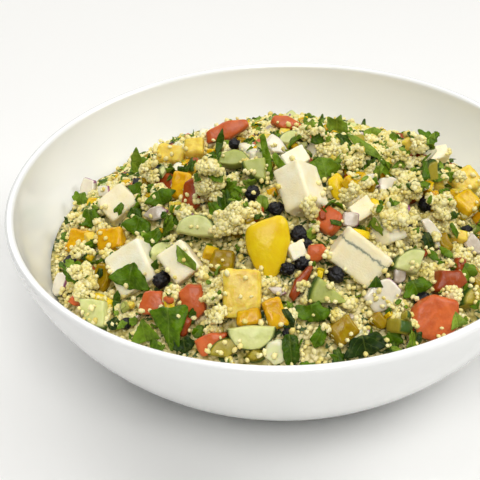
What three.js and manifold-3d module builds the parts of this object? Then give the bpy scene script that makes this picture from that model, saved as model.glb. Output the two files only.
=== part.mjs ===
// Tabbouleh salad in its white bowl: a mound of couscous mixed with cheese, sweet pepper, tomato,
// cucumber, yellow fruit, currants, red onion and chopped leaves. Millimetres, +Z up, origin at the
// centre of the bowl's base.
import * as THREE from 'three';
import { mergeVertices } from 'three/addons/utils/BufferGeometryUtils.js';
import Module from 'manifold-3d';

const wasm = await Module();
wasm.setup();

// ---- Driving dimensions ----
const RIM_RADIUS = 100;
const BOWL_HEIGHT = 60;
const WALL = 3.2;
const BASE_RADIUS = 50;
const FOOT_HEIGHT = 2.4;
const FOOT_WIDTH = 4;
const FOOT_INSET = 2;
const FLARE = 1.35;
const ROUNDING = 1.31;
const SEGMENTS = 52;
const WALL_STEPS = 8;
const LIP_STEPS = 4;

const GAP = 0.5;
const MOUND_GAP = 0.9;
const MOUND_EDGE = 36.5;
const MOUND_PEAK = 73;
const MOUND_POWER = 1.8;
const PEAK_AT = [8, 4];
const MOUND_RINGS = 10;
const MOUND_SEGMENTS = 48;
const MOUND_WALL_STEPS = 4;

const SLIVER = 0.02;
const BLOCK_SLACK = 0.16;
const LEAF_THICKNESS = 0.6;
const FLECK_AREA = 20;
const GRAIN_RADIUS = 1.25;
const GRAIN_SPOTS = 60;
const FILLER_SPOTS = 64;
const FILLER_CLEARANCE = 9.5;
const FILLER_LIFT = 0;

const degrees = THREE.MathUtils.degToRad;

// A small repeatable stream of draws between 0 and 1.
function drawsFrom(seed) {
  let state = seed >>> 0;
  return () => {
    state = (Math.imul(state, 1664525) + 1013904223) >>> 0;
    return state / 4294967296;
  };
}

// ---- Bowl ----

// The point on the wall's outer side at angle a, from the foot (0) to the rim (90 degrees).
function outerWall(a) {
  const radius = BASE_RADIUS + (RIM_RADIUS - BASE_RADIUS) * Math.sin(a) ** FLARE;
  const height = BOWL_HEIGHT - (BOWL_HEIGHT - FOOT_HEIGHT) * Math.max(Math.cos(a), 0) ** ROUNDING;
  return new THREE.Vector2(radius, height);
}

// The same point moved inwards, square to the wall.
function insetWall(a, depth) {
  const step = 1e-3;
  const along = outerWall(Math.min(a + step, Math.PI / 2)).sub(outerWall(Math.max(a - step, 0)));
  along.normalize();
  return outerWall(a).add(new THREE.Vector2(-along.y, along.x).multiplyScalar(depth));
}

const TOP_ANGLE = Math.acos((WALL / 2 / (BOWL_HEIGHT - FOOT_HEIGHT)) ** (1 / ROUNDING));

function wallPoints(depth, from = 0, to = TOP_ANGLE, steps = WALL_STEPS) {
  return Array.from({ length: steps + 1 }, (_, i) => insetWall(from + ((to - from) * i) / steps, depth));
}

function bowlGeometry() {
  const outer = wallPoints(0);
  const inner = wallPoints(WALL);
  const lipOut = outer[WALL_STEPS];
  const lipIn = inner[WALL_STEPS];
  const lipCentre = lipOut.clone().add(lipIn).multiplyScalar(0.5);
  const lip = Array.from({ length: LIP_STEPS - 1 }, (_, i) => {
    const turn = (Math.PI * (i + 1)) / LIP_STEPS;
    return lipOut.clone().rotateAround(lipCentre, turn);
  });
  const footOut = BASE_RADIUS - FOOT_INSET;
  const foot = [
    new THREE.Vector2(0, FOOT_HEIGHT * 0.8),
    new THREE.Vector2(footOut - FOOT_WIDTH - 0.6, FOOT_HEIGHT * 0.8),
    new THREE.Vector2(footOut - FOOT_WIDTH, 0),
    new THREE.Vector2(footOut, 0),
  ];
  const floor = new THREE.Vector2(0, inner[0].y);
  return latheUp([...foot, ...outer, ...lip, ...inner.reverse(), floor]);
}

// A profile of (radius, height) turned round the upright axis.
function latheUp(profile, segments = SEGMENTS) {
  return new THREE.LatheGeometry(profile, segments).rotateX(Math.PI / 2);
}

// ---- Mound ----

// The angle on the wall whose inset point lies at that height.
function wallAngleAt(height, depth) {
  let low = 0;
  let high = TOP_ANGLE;
  for (let i = 0; i < 40; i++) {
    const middle = (low + high) / 2;
    if (insetWall(middle, depth).y < height) low = middle;
    else high = middle;
  }
  return low;
}

const EDGE_ANGLE = wallAngleAt(MOUND_EDGE, WALL + MOUND_GAP);
const MOUND_RADIUS = insetWall(EDGE_ANGLE, WALL + MOUND_GAP).x;

// Soft lumps, a spoonful across, that the tossed grains settle in.
function lumps(x, y) {
  return 1.3 * Math.sin(x / 8.1 + 1.3) * Math.cos(y / 9.7 + 0.4) + 0.7 * Math.sin((x + 1.4 * y) / 5.3);
}

function moundHeight(x, y) {
  const reach = Math.min(Math.hypot(x, y) / MOUND_RADIUS, 1);
  const fromPeak = Math.hypot(x - PEAK_AT[0] * (1 - reach), y - PEAK_AT[1] * (1 - reach)) / MOUND_RADIUS;
  const dome = MOUND_EDGE + (MOUND_PEAK - MOUND_EDGE) * (1 - fromPeak ** MOUND_POWER);
  return dome + lumps(x, y) * (1 - reach ** 4);
}

function moundGeometry() {
  const wall = wallPoints(WALL + MOUND_GAP, 0, EDGE_ANGLE, MOUND_WALL_STEPS);
  const profile = [new THREE.Vector2(0, wall[0].y), ...wall];
  for (let i = MOUND_RINGS - 1; i >= 0; i--) {
    profile.push(new THREE.Vector2((MOUND_RADIUS * i) / MOUND_RINGS, MOUND_PEAK));
  }
  const geometry = latheUp(profile, MOUND_SEGMENTS);
  const at = geometry.getAttribute('position');
  for (let i = 0; i < at.count; i++) {
    if (at.getZ(i) === MOUND_PEAK) at.setZ(i, moundHeight(at.getX(i), at.getY(i)));
  }
  return geometry;
}

// ---- Shapes of the pieces, each centred on its own origin ----

// The corners of a block's six sides, numbered 4 to the right, 2 to the back and 1 to the top.
const BLOCK_SIDES = [[0, 1, 3, 2], [4, 6, 7, 5], [0, 4, 5, 1], [2, 3, 7, 6], [0, 2, 6, 4], [1, 5, 7, 3]];

// A diced block, its corners knocked a little out of square.
function block(width, depth, height, seed) {
  const draw = drawsFrom(seed);
  const corners = Array.from({ length: 8 }, (_, corner) => {
    const sides = [corner >> 2, (corner >> 1) & 1, corner & 1];
    const place = (length, axis) => (sides[axis] - 0.5) * length * (1 - BLOCK_SLACK * draw());
    return [width, depth, height].map(place);
  });
  return meshOf(corners, BLOCK_SIDES.flatMap(([a, b, c, d]) => [[a, b, c], [a, c, d]]));
}

// Outlines on a unit square, anticlockwise.
const OUTLINES = {
  shield: [
    [-0.44, 0.32], [-0.5, 0.04], [-0.38, -0.22], [0.02, -0.5], [0.36, -0.28], [0.5, 0.08], [0.46, 0.38],
    [0.28, 0.5],
  ],
  wedge: [[-0.5, -0.3], [0.1, -0.5], [0.5, -0.1], [0.36, 0.4], [-0.2, 0.5]],
  triangle: [[-0.5, -0.42], [0.5, -0.36], [0.26, 0.1], [0.04, 0.5], [-0.24, 0.06]],
  strip: [[-0.5, -0.4], [0, -0.5], [0.5, -0.34], [0.5, 0.4], [0, 0.5], [-0.5, 0.46]],
  pane: [[-0.42, -0.36], [0.12, -0.5], [0.5, -0.2], [0.42, 0.42], [-0.1, 0.5], [-0.5, 0.3]],
  pane5: [[-0.5, -0.06], [-0.16, -0.5], [0.34, -0.34], [0.5, 0.1], [0.1, 0.5], [-0.26, 0.4]],
  arc: [[-0.5, -0.2], [0, -0.5], [0.5, -0.3], [0.46, 0.1], [0, 0.5], [-0.42, 0.36]],
  fang: [[-0.5, -0.2], [-0.1, -0.46], [0.5, -0.1], [0, 0.4], [-0.4, 0.5]],
  lobed: [
    [0.04, -0.5], [0.42, -0.36], [0.5, 0.06], [0.3, 0.16], [0.24, 0.5], [-0.1, 0.3], [-0.4, 0.44], [-0.5, 0],
    [-0.3, -0.3],
  ],
  torn: [[-0.5, -0.2], [-0.1, -0.5], [0.34, -0.36], [0.5, 0.1], [0.16, 0.5], [-0.16, 0.24], [-0.44, 0.34]],
  blade: [[-0.5, -0.06], [-0.14, -0.46], [0.24, -0.4], [0.5, 0.1], [0.16, 0.5], [-0.2, 0.36]],
  cut: [[-0.5, -0.22], [0.06, -0.5], [0.5, -0.2], [0.34, 0.42], [-0.2, 0.5]],
  kite: [[-0.5, -0.24], [0, -0.5], [0.5, -0.36], [0.44, -0.1], [0.04, 0.5], [-0.24, 0.2]],
  kite2: [[-0.2, -0.2], [0.16, -0.5], [0.5, -0.36], [0.26, 0.06], [-0.06, 0.5], [-0.5, 0]],
  flag: [[0.06, -0.5], [0.24, -0.44], [0.3, -0.06], [0.5, 0.34], [0.4, 0.5], [-0.5, 0.4], [-0.24, -0.02]],
  stem: [[-0.5, -0.3], [0, -0.5], [0.5, -0.3], [0.5, 0.3], [0, 0.5], [-0.5, 0.3]],
};

// A closed slab over an outline, that sags by curl and waves by ripple.
function slab(outline, width, length, thickness, curl = 0, ripple = 0) {
  const rim = OUTLINES[outline];
  const count = rim.length;
  const sag = (x, y) => curl * (0.35 - (x / width) ** 2 * 1.8 - (y / length) ** 2);
  const wave = (x, y) => ripple * Math.sin((x * 7) / width + (y * 3) / length);
  const layer = (side) => [[0, 0], ...rim].map(([u, v]) => {
    const [x, y] = [u * width, v * length];
    return [x, y, sag(x, y) + wave(x, y) + (side * thickness) / 2];
  });
  const vertices = [...layer(1), ...layer(-1)];
  const below = count + 1;
  const faces = [];
  for (let i = 0; i < count; i++) {
    const [here, next] = [1 + i, 1 + ((i + 1) % count)];
    faces.push([0, here, next], [below, next + below, here + below]);
    faces.push([here, here + below, next + below], [here, next + below, next]);
  }
  return meshOf(vertices, faces);
}

// A slice of a long round fruit, cut into a sector.
function sector(radius, thickness, angle) {
  const half = degrees(angle / 2);
  const shape = new THREE.Shape().moveTo(0, -radius * 0.45);
  shape.absarc(0, -radius * 0.45, radius, Math.PI / 2 - half, Math.PI / 2 + half, false);
  return new THREE.ExtrudeGeometry(shape, { depth: thickness, bevelEnabled: false, curveSegments: 4 })
    .translate(0, 0, -thickness / 2);
}

// A dried currant: a wrinkled ball, longer than it is wide.
function currant(length, seed) {
  const geometry = solidMesh(new THREE.OctahedronGeometry(length / 2, 1));
  const draw = drawsFrom(seed);
  const at = geometry.getAttribute('position');
  for (let i = 0; i < at.count; i++) {
    const swell = 0.86 + 0.2 * draw();
    at.setXYZ(i, at.getX(i) * swell, at.getY(i) * swell * 0.82, at.getZ(i) * swell * 0.76);
  }
  return geometry;
}

function grain(radius) {
  return new THREE.IcosahedronGeometry(radius, 0);
}

function meshOf(vertices, faces) {
  const geometry = new THREE.BufferGeometry();
  geometry.setAttribute('position', new THREE.Float32BufferAttribute(vertices.flat(), 3));
  geometry.setIndex(faces.flat());
  return geometry;
}

// ---- The mix ----
// Each piece stands at x, y on the mound, its centre lifted above the bare mound. It spins in its
// own plane, then leans over by an angle towards a bearing (0 is the front of the bowl, 90 its right).

// x, y, lift, width, depth, height, bearing, lean, spin
const CHEESE_BLOCKS = [
  [4, -6, 2.5, 10, 7, 7, 22, 32, 14],
  [6, -20, 3, 12, 13, 18, 14, 116, 44],
  [24.5, -44, 1.5, 19.5, 13.5, 11, 2, 62, -39],
  [-51.5, -35, 0.5, 16.5, 16.5, 11, -28, 47, 44],
  [-34.5, -41, 1, 11.5, 13, 12, -12, 50, 44],
  [-59.5, 0, 0.5, 13.5, 11.5, 12, -12, 38, 48],
  [4, -43, 1.5, 6, 6, 5, 10, 40, 15],
  [58.5, 31, 3, 9, 6, 6, 20, 30, 0],
  [26.5, -25.5, 1.5, 9, 7, 6, 20, 35, 20],
];

const YELLOW_BLOCKS = [
  [-41.5, 25, 2, 11, 8, 8, -15, 30, 5],
  [-32.5, 21, 2, 8, 7.5, 7, -10, 30, 10],
  [-36.5, -2.5, 1, 7, 11, 6, -15, 40, 0],
  [66.5, 14, 2, 12, 10, 9, 30, 30, 5],
  [65, -3, 2, 9, 9, 8, 40, 35, 10],
  [-20.5, -43, 0, 8.5, 8, 7, -5, 40, -5],
  [-12, -63.5, 1.5, 8.5, 5.5, 5, 0, 40, 8],
  [-3.5, -63.5, 1, 7, 11, 6, 8, 50, 15],
  [18.5, -67, 1.5, 9.5, 8.5, 6, 12, 48, 28],
  [30, -62.5, 0.5, 5, 5.5, 5, 20, 45, 30],
  [-74, -9, 1, 9.5, 10, 6, -35, 42, 10],
  [-61, -18.5, 1, 10, 9, 7, -25, 38, 25],
  [-14, -26, 1.5, 4.5, 6, 3.5, 0, 50, 10],
  [26.5, -11, 1.5, 5, 7, 4, 10, 45, -15],
  [50, 32, 2, 7.5, 7, 7, 25, 25, 10],
  [-14, -56.5, 1.5, 13, 17, 8, 0, 50, -4],
  [-49, 10, 1, 5.5, 8, 6, -20, 30, 10],
  [53, -12, 0.5, 3.5, 11, 4, 10, 50, -4],
  [55, -27, 0.5, 5, 8, 5, 25, 45, 10],
  [64.5, -37, 1, 5, 8, 5, 35, 45, 0],
  [-63, -33.5, 1, 6.5, 10, 5, -25, 50, -6],
];

// x, y, lift, radius, thickness, angle, bearing, lean, spin
const CUCUMBER_SECTORS = [
  [-29, -28.5, 1.5, 7.8, 11, 170, -8, 50, -4],
  [-17.5, 4, 2, 6.4, 9, 160, 0, 45, 4],
  [-8.5, -5.5, 2, 9, 7, 80, 0, 45, 140],
  [41.5, -43, 2, 9, 9, 100, 12, 48, 20],
  [15, -57.5, 1, 14, 6, 40, 8, 55, 63],
  [-63, -46.5, 0.5, 10, 8, 100, -25, 48, 150],
  [-11, -68.5, 0.5, 8.4, 9, 170, 0, 52, 182],
  [2.5, 16, 0.5, 6, 6, 120, 5, 40, 20],
  [-19.5, -71, 0, 7, 7, 120, 0, 50, 20],
  [62, -46.5, 1, 7, 7, 100, 40, 45, 10],
  [-10, -73.5, 0, 5, 5, 120, 0, 50, 190],
];

// x, y, lift, length, bearing, lean
const CURRANTS = [
  [-22, -5, 1.5, 7, 60, 40],
  [-10.5, -17.5, 1.5, 6.4, 55, 40],
  [-2.5, -24.5, 1, 6, -5, 40],
  [5, -35, 1.5, 7, 100, 40],
  [6, -47, 1, 6.2, 20, 40],
  [1, -48.5, 1, 5.6, 10, 30],
  [16.5, -51, 1.5, 6.8, -30, 40],
  [-41.5, -44, 1.5, 6.8, 50, 50],
  [-75.5, -20, 2, 7, 5, 15],
  [49.5, -13.5, 1.5, 6.6, 80, 60],
  [41.5, -27.5, 1, 5.8, 60, 40],
  [38, -24.5, 1, 5.4, 95, 50],
  [64, -17, 0.5, 4.8, 20, 30],
  [-17.5, 15, 1, 5, 25, 20],
  [45.5, -53, 1, 6.4, 22, 20],
  [0.5, -69, 0.5, 3.8, 20, 30],
  [7.5, -38, 0.5, 4.4, -40, 30],
];

// x, y, lift, outline, width, length, thickness, curl, ripple, bearing, lean, spin
const PEPPER_SLABS = [
  [-5.5, -43.5, 4.5, 'shield', 15, 23, 3.4, 2.6, 0, 4, 58, -2],
  [18.5, -17, 2, 'shield', 5.6, 11.5, 2.4, 0.6, 0, 4, 58, 10],
  [-62, -44.5, 1, 'strip', 8, 5, 2, 1, 0, -20, 50, -12],
  [33, -21.5, 0.5, 'strip', 8.6, 3.4, 2, 0.4, 0, 10, 45, -34],
  [27.5, 8, 1, 'wedge', 6.5, 5.5, 3, 0.8, 0, 10, 35, 0],
  [25.5, -36.5, 1, 'strip', 6.5, 3.4, 2, 0.4, 0, 10, 45, -20],
  [11.5, -50.5, 0.5, 'strip', 2.6, 4.4, 1.6, 0.3, 0, 0, 55, -10],
  [14.5, 23, 1, 'strip', 2.4, 3.6, 1.6, 0.2, 0, 0, 55, 10],
];

const TOMATO_SLABS = [
  [-20.5, 26, 2.5, 'arc', 18, 7, 5, 0.6, 0, 0, 50, 24],
  [1.5, 31, 2, 'arc', 12.5, 5.5, 5, 0.6, 0, 0, 45, -12],
  [-32, -12, 2, 'pane', 7, 13, 4, 1, 0, -8, 55, -6],
  [-30.5, -55, 1.5, 'pane', 9, 12.5, 5, 1.6, 0, -5, 55, 4],
  [-44, -52.5, 1.5, 'wedge', 10.5, 9, 5, 1.2, 0, -12, 52, 12],
  [-23.5, -69, 1.5, 'fang', 12, 8, 4, 0.6, 0, -5, 55, 40],
  [48.5, -59, 2.5, 'pane5', 19.5, 16, 6, 2.4, 0, 18, 55, 14],
  [54, -43.5, 1.5, 'wedge', 13.5, 8.8, 8, 3, 0, 22, 50, -8],
  [10.5, -44, 2, 'wedge', 8, 6.4, 4, 0.8, 0, 5, 52, 14],
  [5, -53.5, 1, 'arc', 14, 4, 4, 0.4, 0, 5, 55, 58],
  [-72, -38.5, 0.5, 'wedge', 6, 4, 4, 0.6, 0, -30, 48, 0],
  [59.5, -35, 1.5, 'strip', 3.8, 5, 4, 0.4, 0, 25, 50, -20],
  [-33, -62, 0.5, 'strip', 3.4, 7, 3, 0.4, 0, -5, 58, -14],
  [47, -35, 1, 'strip', 3, 3, 2.4, 0.2, 0, 15, 50, 20],
];

const ONION_SLABS = [
  [-76, 33, 2.5, 'strip', 7, 6.5, 3, 0.8, 0, -25, 50, 90],
  [-45, -15, 1.5, 'blade', 9.5, 5.5, 2.4, 1.2, 0, -8, 48, 10],
  [-1.5, 5.5, 1, 'fang', 11, 6.5, 2, 0.8, 0, 0, 48, -30],
  [30.5, -10, 1.5, 'strip', 5.5, 6, 2, 0.8, 0, 10, 48, 10],
  [37.5, -9, 1.5, 'pane', 9, 6.5, 2, 1, 0, 12, 45, -20],
  [22.5, -31, 1, 'strip', 5.5, 5.5, 2, 0.6, 0, 6, 50, -8],
  [51.5, -26.5, 1.5, 'arc', 14.5, 4.6, 2.2, 0.6, 0, 20, 55, -66],
  [66.5, -22.5, 0.5, 'fang', 9, 7, 2.2, 0.8, 0, 30, 50, -50],
  [38, -47, 1, 'strip', 4, 6, 2, 0.6, 0, 12, 52, -10],
  [32, -54.5, 1.5, 'pane', 12.5, 10, 2.4, 1.2, 0, 10, 54, 26],
  [-2.5, -56, 1, 'blade', 6.5, 3.2, 2, 0.6, 0, 0, 52, -22],
  [-79.5, -27, 1, 'strip', 5, 9, 2.4, 1, 0, -40, 50, 10],
  [-3, -73.5, 0.5, 'pane5', 9.5, 8.5, 4, 1.4, 0, 0, 58, 10],
  [24, -67.5, 0.5, 'blade', 7.5, 4, 2, 0.6, 0, 10, 55, 20],
  [-68, 20, 1.5, 'strip', 4.4, 4.4, 2, 0.5, 0, -20, 48, 20],
];

// x, y, lift, outline, width, length, curl, ripple, bearing, lean, spin
const LEAVES = [
  [20.5, 29, 2.2, 'lobed', 8, 8.5, 1.2, 0.6, 0, 75, 5],
  [29, 8, 3, 'blade', 17, 4, 1.4, 0.3, 5, 52, -41],
  [21, 9, 1.5, 'cut', 8.5, 8, 1.2, 0.6, 0, 50, 10],
  [14.5, -8, 1, 'lobed', 11.5, 9, 1.2, 0.8, 0, 52, 190],
  [-23, 17, 2.2, 'blade', 11, 3, 0.6, 0.2, 0, 60, 74],
  [-25, 1, 2, 'stem', 13, 1.6, 1.6, 0.3, -5, 55, 66],
  [-5.5, -4.5, 4, 'stem', 17, 3, 1.6, 1.2, 0, 58, -80],
  [-0.5, -11.5, 5, 'stem', 10, 3, 1, 0.6, 0, 58, -58],
  [-56, 32, 4, 'blade', 13, 4.5, 0.6, 0.3, -10, 82, 85],
  [-55, 32, 1.5, 'cut', 9.5, 6.6, 1, 0.4, -10, 65, 28],
  [-43.5, -7.5, 0.8, 'blade', 12.5, 6, 1.6, 0.5, -8, 52, 22],
  [-71, 2.5, 1.5, 'cut', 9, 7.2, 1.2, 0.5, -20, 52, 20],
  [-77.5, 24, 2, 'lobed', 7, 6, 1.4, 0.6, -20, 50, 0],
  [-52, -40.5, 4.5, 'kite', 15.5, 9.6, 1.8, 0.7, -12, 54, -6],
  [-38, -63, 2.2, 'flag', 13.5, 15.5, 1.2, 0.6, -4, 58, 2],
  [-46.5, -61, 1.5, 'triangle', 11, 9, 0.8, 0.5, -6, 58, 12],
  [-33, -44.5, 6.8, 'kite2', 5.4, 11, 0.5, 0.3, -8, 54, 34],
  [1.5, -75, 3, 'pane', 5.6, 11, 1.6, 0.6, 0, 62, 4],
  [25, -71, 2, 'cut', 16, 7.4, 1.4, 0.6, 8, 60, 12],
  [10.5, -70, 1, 'cut', 5, 8, 1, 0.5, 4, 58, -30],
  [34, -67, 0.6, 'torn', 7, 7, 1, 0.6, 14, 56, 20],
  [43, -50, 1, 'cut', 11, 6, 1, 0.4, 14, 52, 14],
  [55.5, -60.5, 7, 'triangle', 6.6, 6, 0.5, 0.2, 20, 54, 4],
  [29.5, -53, 4.4, 'triangle', 5.2, 4.6, 0.5, 0.2, 8, 54, -8],
  [32, -27.5, 3, 'triangle', 3.8, 6, 0.4, 0.2, 8, 52, 186],
  [49, -30, 0.8, 'pane', 3.8, 7, 0.6, 0.3, 15, 54, 10],
  [50, -34, 0.5, 'blade', 6, 3, 0.5, 0.2, 15, 54, -60],
  [8.5, -62.5, 0.8, 'lobed', 11.5, 7, 1.8, 0.7, 4, 54, 4],
  [0.5, -66, 1.5, 'cut', 4.6, 7.4, 0.8, 0.4, 2, 56, 20],
  [-19.5, -23.5, 1.5, 'torn', 6, 14, 1.4, 0.8, -2, 52, 8],
  [-23.5, -24, 1.5, 'cut', 5, 7, 0.8, 0.5, -4, 52, 30],
  [-7.5, -22, 1, 'cut', 5.4, 6, 0.8, 0.4, 0, 50, 0],
  [-51.5, -16.5, 1, 'cut', 11.5, 7, 1.4, 0.5, -10, 44, -14],
  [-45.5, -24.5, 1, 'cut', 6, 8, 1, 0.5, -8, 50, -40],
  [-59, -6, 3.5, 'cut', 3.4, 5.4, 0.6, 0.3, -12, 52, -20],
  [-53, -10, 1, 'cut', 5.6, 4.4, 0.6, 0.3, -12, 50, 10],
  [33, 27, 1, 'blade', 8, 4, 0.8, 0.4, 10, 50, 0],
  [41, 31, 1.5, 'cut', 4.4, 5.4, 0.6, 0.3, 15, 50, -40],
  [46.5, 23, 1, 'cut', 5, 5.6, 0.6, 0.3, 20, 50, 20],
  [11, 30, 1.5, 'lobed', 5.6, 5, 0.8, 0.4, 0, 50, 20],
  [-53, 4.5, 2, 'cut', 6.4, 5.6, 0.8, 0.4, -12, 50, -30],
  [55, -31, 0.5, 'blade', 7, 2.8, 0.5, 0.2, 20, 54, -52],
  [61.5, -38, 2.5, 'torn', 7, 6.4, 1, 0.5, 26, 52, 20],
  [61, -43.5, 2, 'cut', 3.6, 3.8, 0.4, 0.2, 28, 54, 0],
  [62.5, -46.5, 0.8, 'cut', 3.8, 5, 0.4, 0.2, 30, 56, 10],
  [59, -13.5, 0.5, 'blade', 5.6, 3, 0.5, 0.2, 20, 50, 0],
  [42, -66, 2, 'cut', 4.2, 6, 0.5, 0.2, 14, 58, -20],
  [-74, -23, 0.6, 'cut', 3.4, 3.6, 0.4, 0.2, -25, 52, 0],
  [-30.5, -60, 2, 'blade', 5.6, 3, 0.5, 0.2, -4, 58, 80],
  [-33, -67.5, 0.5, 'torn', 7.4, 5.6, 1, 0.6, -4, 58, 10],
  [-14, -34, 0.2, 'blade', 4.6, 2.2, 0.5, 0.2, 0, 54, -36],
  [-44, -39.5, 2.5, 'blade', 6.4, 3, 0.8, 0.3, -8, 56, 70],
  [-57.5, -53.5, 0.5, 'cut', 4.4, 5, 0.5, 0.3, -15, 54, -30],
  [-57, -46, 1, 'blade', 8.4, 2.8, 0.6, 0.3, -10, 58, 80],
  [-63.5, -34.5, 4, 'cut', 2.6, 3.6, 0.3, 0.1, -18, 54, 0],
];

function mixPieces() {
  const pieces = [];
  const add = (x, y, lift, bearing, lean, spin, reach, geometry) =>
    pieces.push({ x, y, lift, bearing, lean, spin, reach, geometry });
  const blocks = [...CHEESE_BLOCKS, ...YELLOW_BLOCKS];
  blocks.forEach(([x, y, lift, width, depth, height, bearing, lean, spin], i) =>
    add(x, y, lift, bearing, lean, spin, Math.max(width, depth) / 2, block(width, depth, height, i + 1)));
  for (const [x, y, lift, radius, thickness, angle, bearing, lean, spin] of CUCUMBER_SECTORS) {
    add(x, y, lift, bearing, lean, spin, radius / 2, sector(radius, thickness, angle));
  }
  CURRANTS.forEach(([x, y, lift, length, bearing, lean], i) =>
    add(x, y, lift, bearing, lean, 0, length / 2, currant(length, i + 7)));
  for (const row of [...PEPPER_SLABS, ...TOMATO_SLABS, ...ONION_SLABS]) {
    const [x, y, lift, outline, width, length, thickness, curl, ripple, bearing, lean, spin] = row;
    const geometry = slab(outline, width, length, thickness, curl, ripple);
    add(x, y, lift, bearing, lean, spin, (width + length) / 4, geometry);
  }
  for (const [x, y, lift, outline, width, length, curl, ripple, bearing, lean, spin] of LEAVES) {
    if (width * length < FLECK_AREA) continue; // a fleck, too small to stand as a solid
    const geometry = slab(outline, width, length, LEAF_THICKNESS, curl, ripple);
    add(x, y, lift, bearing, lean, spin, (width + length) / 4, geometry);
  }
  return pieces;
}

// Spots spread evenly over the mound, on a sunflower spiral.
function spiralSpots(count, edge) {
  const golden = Math.PI * (3 - Math.sqrt(5));
  return Array.from({ length: count }, (_, i) => {
    const radius = (MOUND_RADIUS - edge) * Math.sqrt((i + 0.5) / count);
    return [radius * Math.cos(i * golden), radius * Math.sin(i * golden)];
  });
}

const clearOf = (x, y, pieces, room) =>
  pieces.every((piece) => Math.hypot(piece.x - x, piece.y - y) > room(piece));

// Pieces of the same kinds for the parts of the mound that the lists above leave bare.
function fillerPieces(placed) {
  const draw = drawsFrom(2024);
  const kinds = ['leaf', 'yellow', 'cucumber', 'leaf', 'tomato', 'currant', 'leaf', 'cheese', 'onion'];
  const fillers = [];
  for (const [x, y] of spiralSpots(FILLER_SPOTS, 7)) {
    const kind = kinds[Math.floor(draw() * kinds.length)];
    const grow = 0.85 + 0.4 * draw();
    const spin = 360 * draw();
    const lean = 18 + 30 * draw();
    if (!clearOf(x, y, placed, () => FILLER_CLEARANCE)) continue;
    const bearing = THREE.MathUtils.radToDeg(Math.atan2(x, -y));
    const shapes = {
      leaf: () => slab('torn', 12 * grow, 11 * grow, LEAF_THICKNESS, 1.4, 0.7),
      yellow: () => block(10 * grow, 9 * grow, 7, fillers.length + 40),
      cucumber: () => sector(11 * grow, 8, 100),
      tomato: () => slab('wedge', 13 * grow, 11 * grow, 5, 2),
      currant: () => currant(6.5 * grow, fillers.length + 60),
      cheese: () => block(13 * grow, 12 * grow, 12, fillers.length + 80),
      onion: () => slab('strip', 8 * grow, 7 * grow, 2.2, 1),
    };
    fillers.push({ x, y, lift: FILLER_LIFT, bearing, lean, spin, reach: 6 * grow, geometry: shapes[kind]() });
  }
  return fillers;
}

function looseGrains(pieces) {
  const draw = drawsFrom(77);
  const grains = [];
  for (const [x, y] of spiralSpots(GRAIN_SPOTS, 2.5)) {
    const radius = GRAIN_RADIUS * (0.85 + 0.3 * draw());
    const spin = 360 * draw();
    if (!clearOf(x, y, pieces, (piece) => piece.reach * 0.9 + radius)) continue;
    const turn = { bearing: spin, lean: spin / 2, spin };
    grains.push({ x, y, lift: radius * 0.45, ...turn, reach: radius, geometry: grain(radius) });
  }
  return grains;
}

// ---- Joining ----

function solidMesh(geometry) {
  const bare = geometry.clone();
  for (const name of ['normal', 'uv']) bare.deleteAttribute(name);
  return mergeVertices(bare, 1e-4);
}

function toSolid(geometry) {
  const merged = solidMesh(geometry);
  return new wasm.Manifold(new wasm.Mesh({
    numProp: 3,
    vertProperties: new Float32Array(merged.getAttribute('position').array),
    triVerts: new Uint32Array(merged.index.array),
  }));
}

function placedSolid({ x, y, lift, bearing, lean, spin, geometry }) {
  const place = new THREE.Matrix4().makeTranslation(x, y, moundHeight(x, y) + lift)
    .multiply(new THREE.Matrix4().makeRotationZ(degrees(bearing)))
    .multiply(new THREE.Matrix4().makeRotationX(degrees(lean)))
    .multiply(new THREE.Matrix4().makeRotationZ(degrees(spin)));
  return toSolid(geometry.clone().applyMatrix4(place));
}

// The room inside the bowl that the salad may fill, open upwards past the rim.
function cavity() {
  const depth = WALL + GAP;
  const ceiling = MOUND_PEAK + 40;
  const wall = wallPoints(depth);
  const rim = wall[WALL_STEPS];
  const top = [new THREE.Vector2(rim.x, ceiling), new THREE.Vector2(0, ceiling)];
  return toSolid(latheUp([new THREE.Vector2(0, wall[0].y), ...wall, ...top]));
}

function saladGeometry() {
  const mix = mixPieces();
  const pieces = [...mix, ...fillerPieces(mix)];
  const grains = looseGrains(pieces);
  let heap = toSolid(moundGeometry());
  const room = cavity();
  for (const piece of [...pieces, ...grains]) heap = heap.add(placedSolid(piece).intersect(room));
  const [whole] = heap.simplify(SLIVER).decompose().sort((a, b) => b.volume() - a.volume());
  const mesh = whole.getMesh();
  const geometry = new THREE.BufferGeometry();
  geometry.setAttribute('position', new THREE.BufferAttribute(mesh.vertProperties, 3));
  geometry.setIndex(new THREE.BufferAttribute(mesh.triVerts, 1));
  return geometry;
}

// ---- The part ----

const porcelain = new THREE.MeshStandardMaterial({ color: 0xf4f4f0, roughness: 0.18, metalness: 0 });
const salad = new THREE.MeshStandardMaterial({ color: 0xd8cf93, roughness: 0.7, metalness: 0 });

const bowl = new THREE.Mesh(bowlGeometry(), porcelain);
bowl.name = 'bowl';

const heap = new THREE.Mesh(saladGeometry(), salad);
heap.name = 'salad_heap';

const tabbouleh = new THREE.Group();
tabbouleh.add(bowl, heap);

export default tabbouleh;
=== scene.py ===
"""The looks of a tabbouleh salad in its white bowl: glazed porcelain, a mound of couscous grains and the
diced, sliced and chopped pieces mixed into it. Lengths here are millimetres until a mesh is made."""

import math
from functools import partial
from itertools import product

import bmesh
import bpy
import numpy as np
from mathutils import Matrix, Vector
from mathutils.bvhtree import BVHTree


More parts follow.
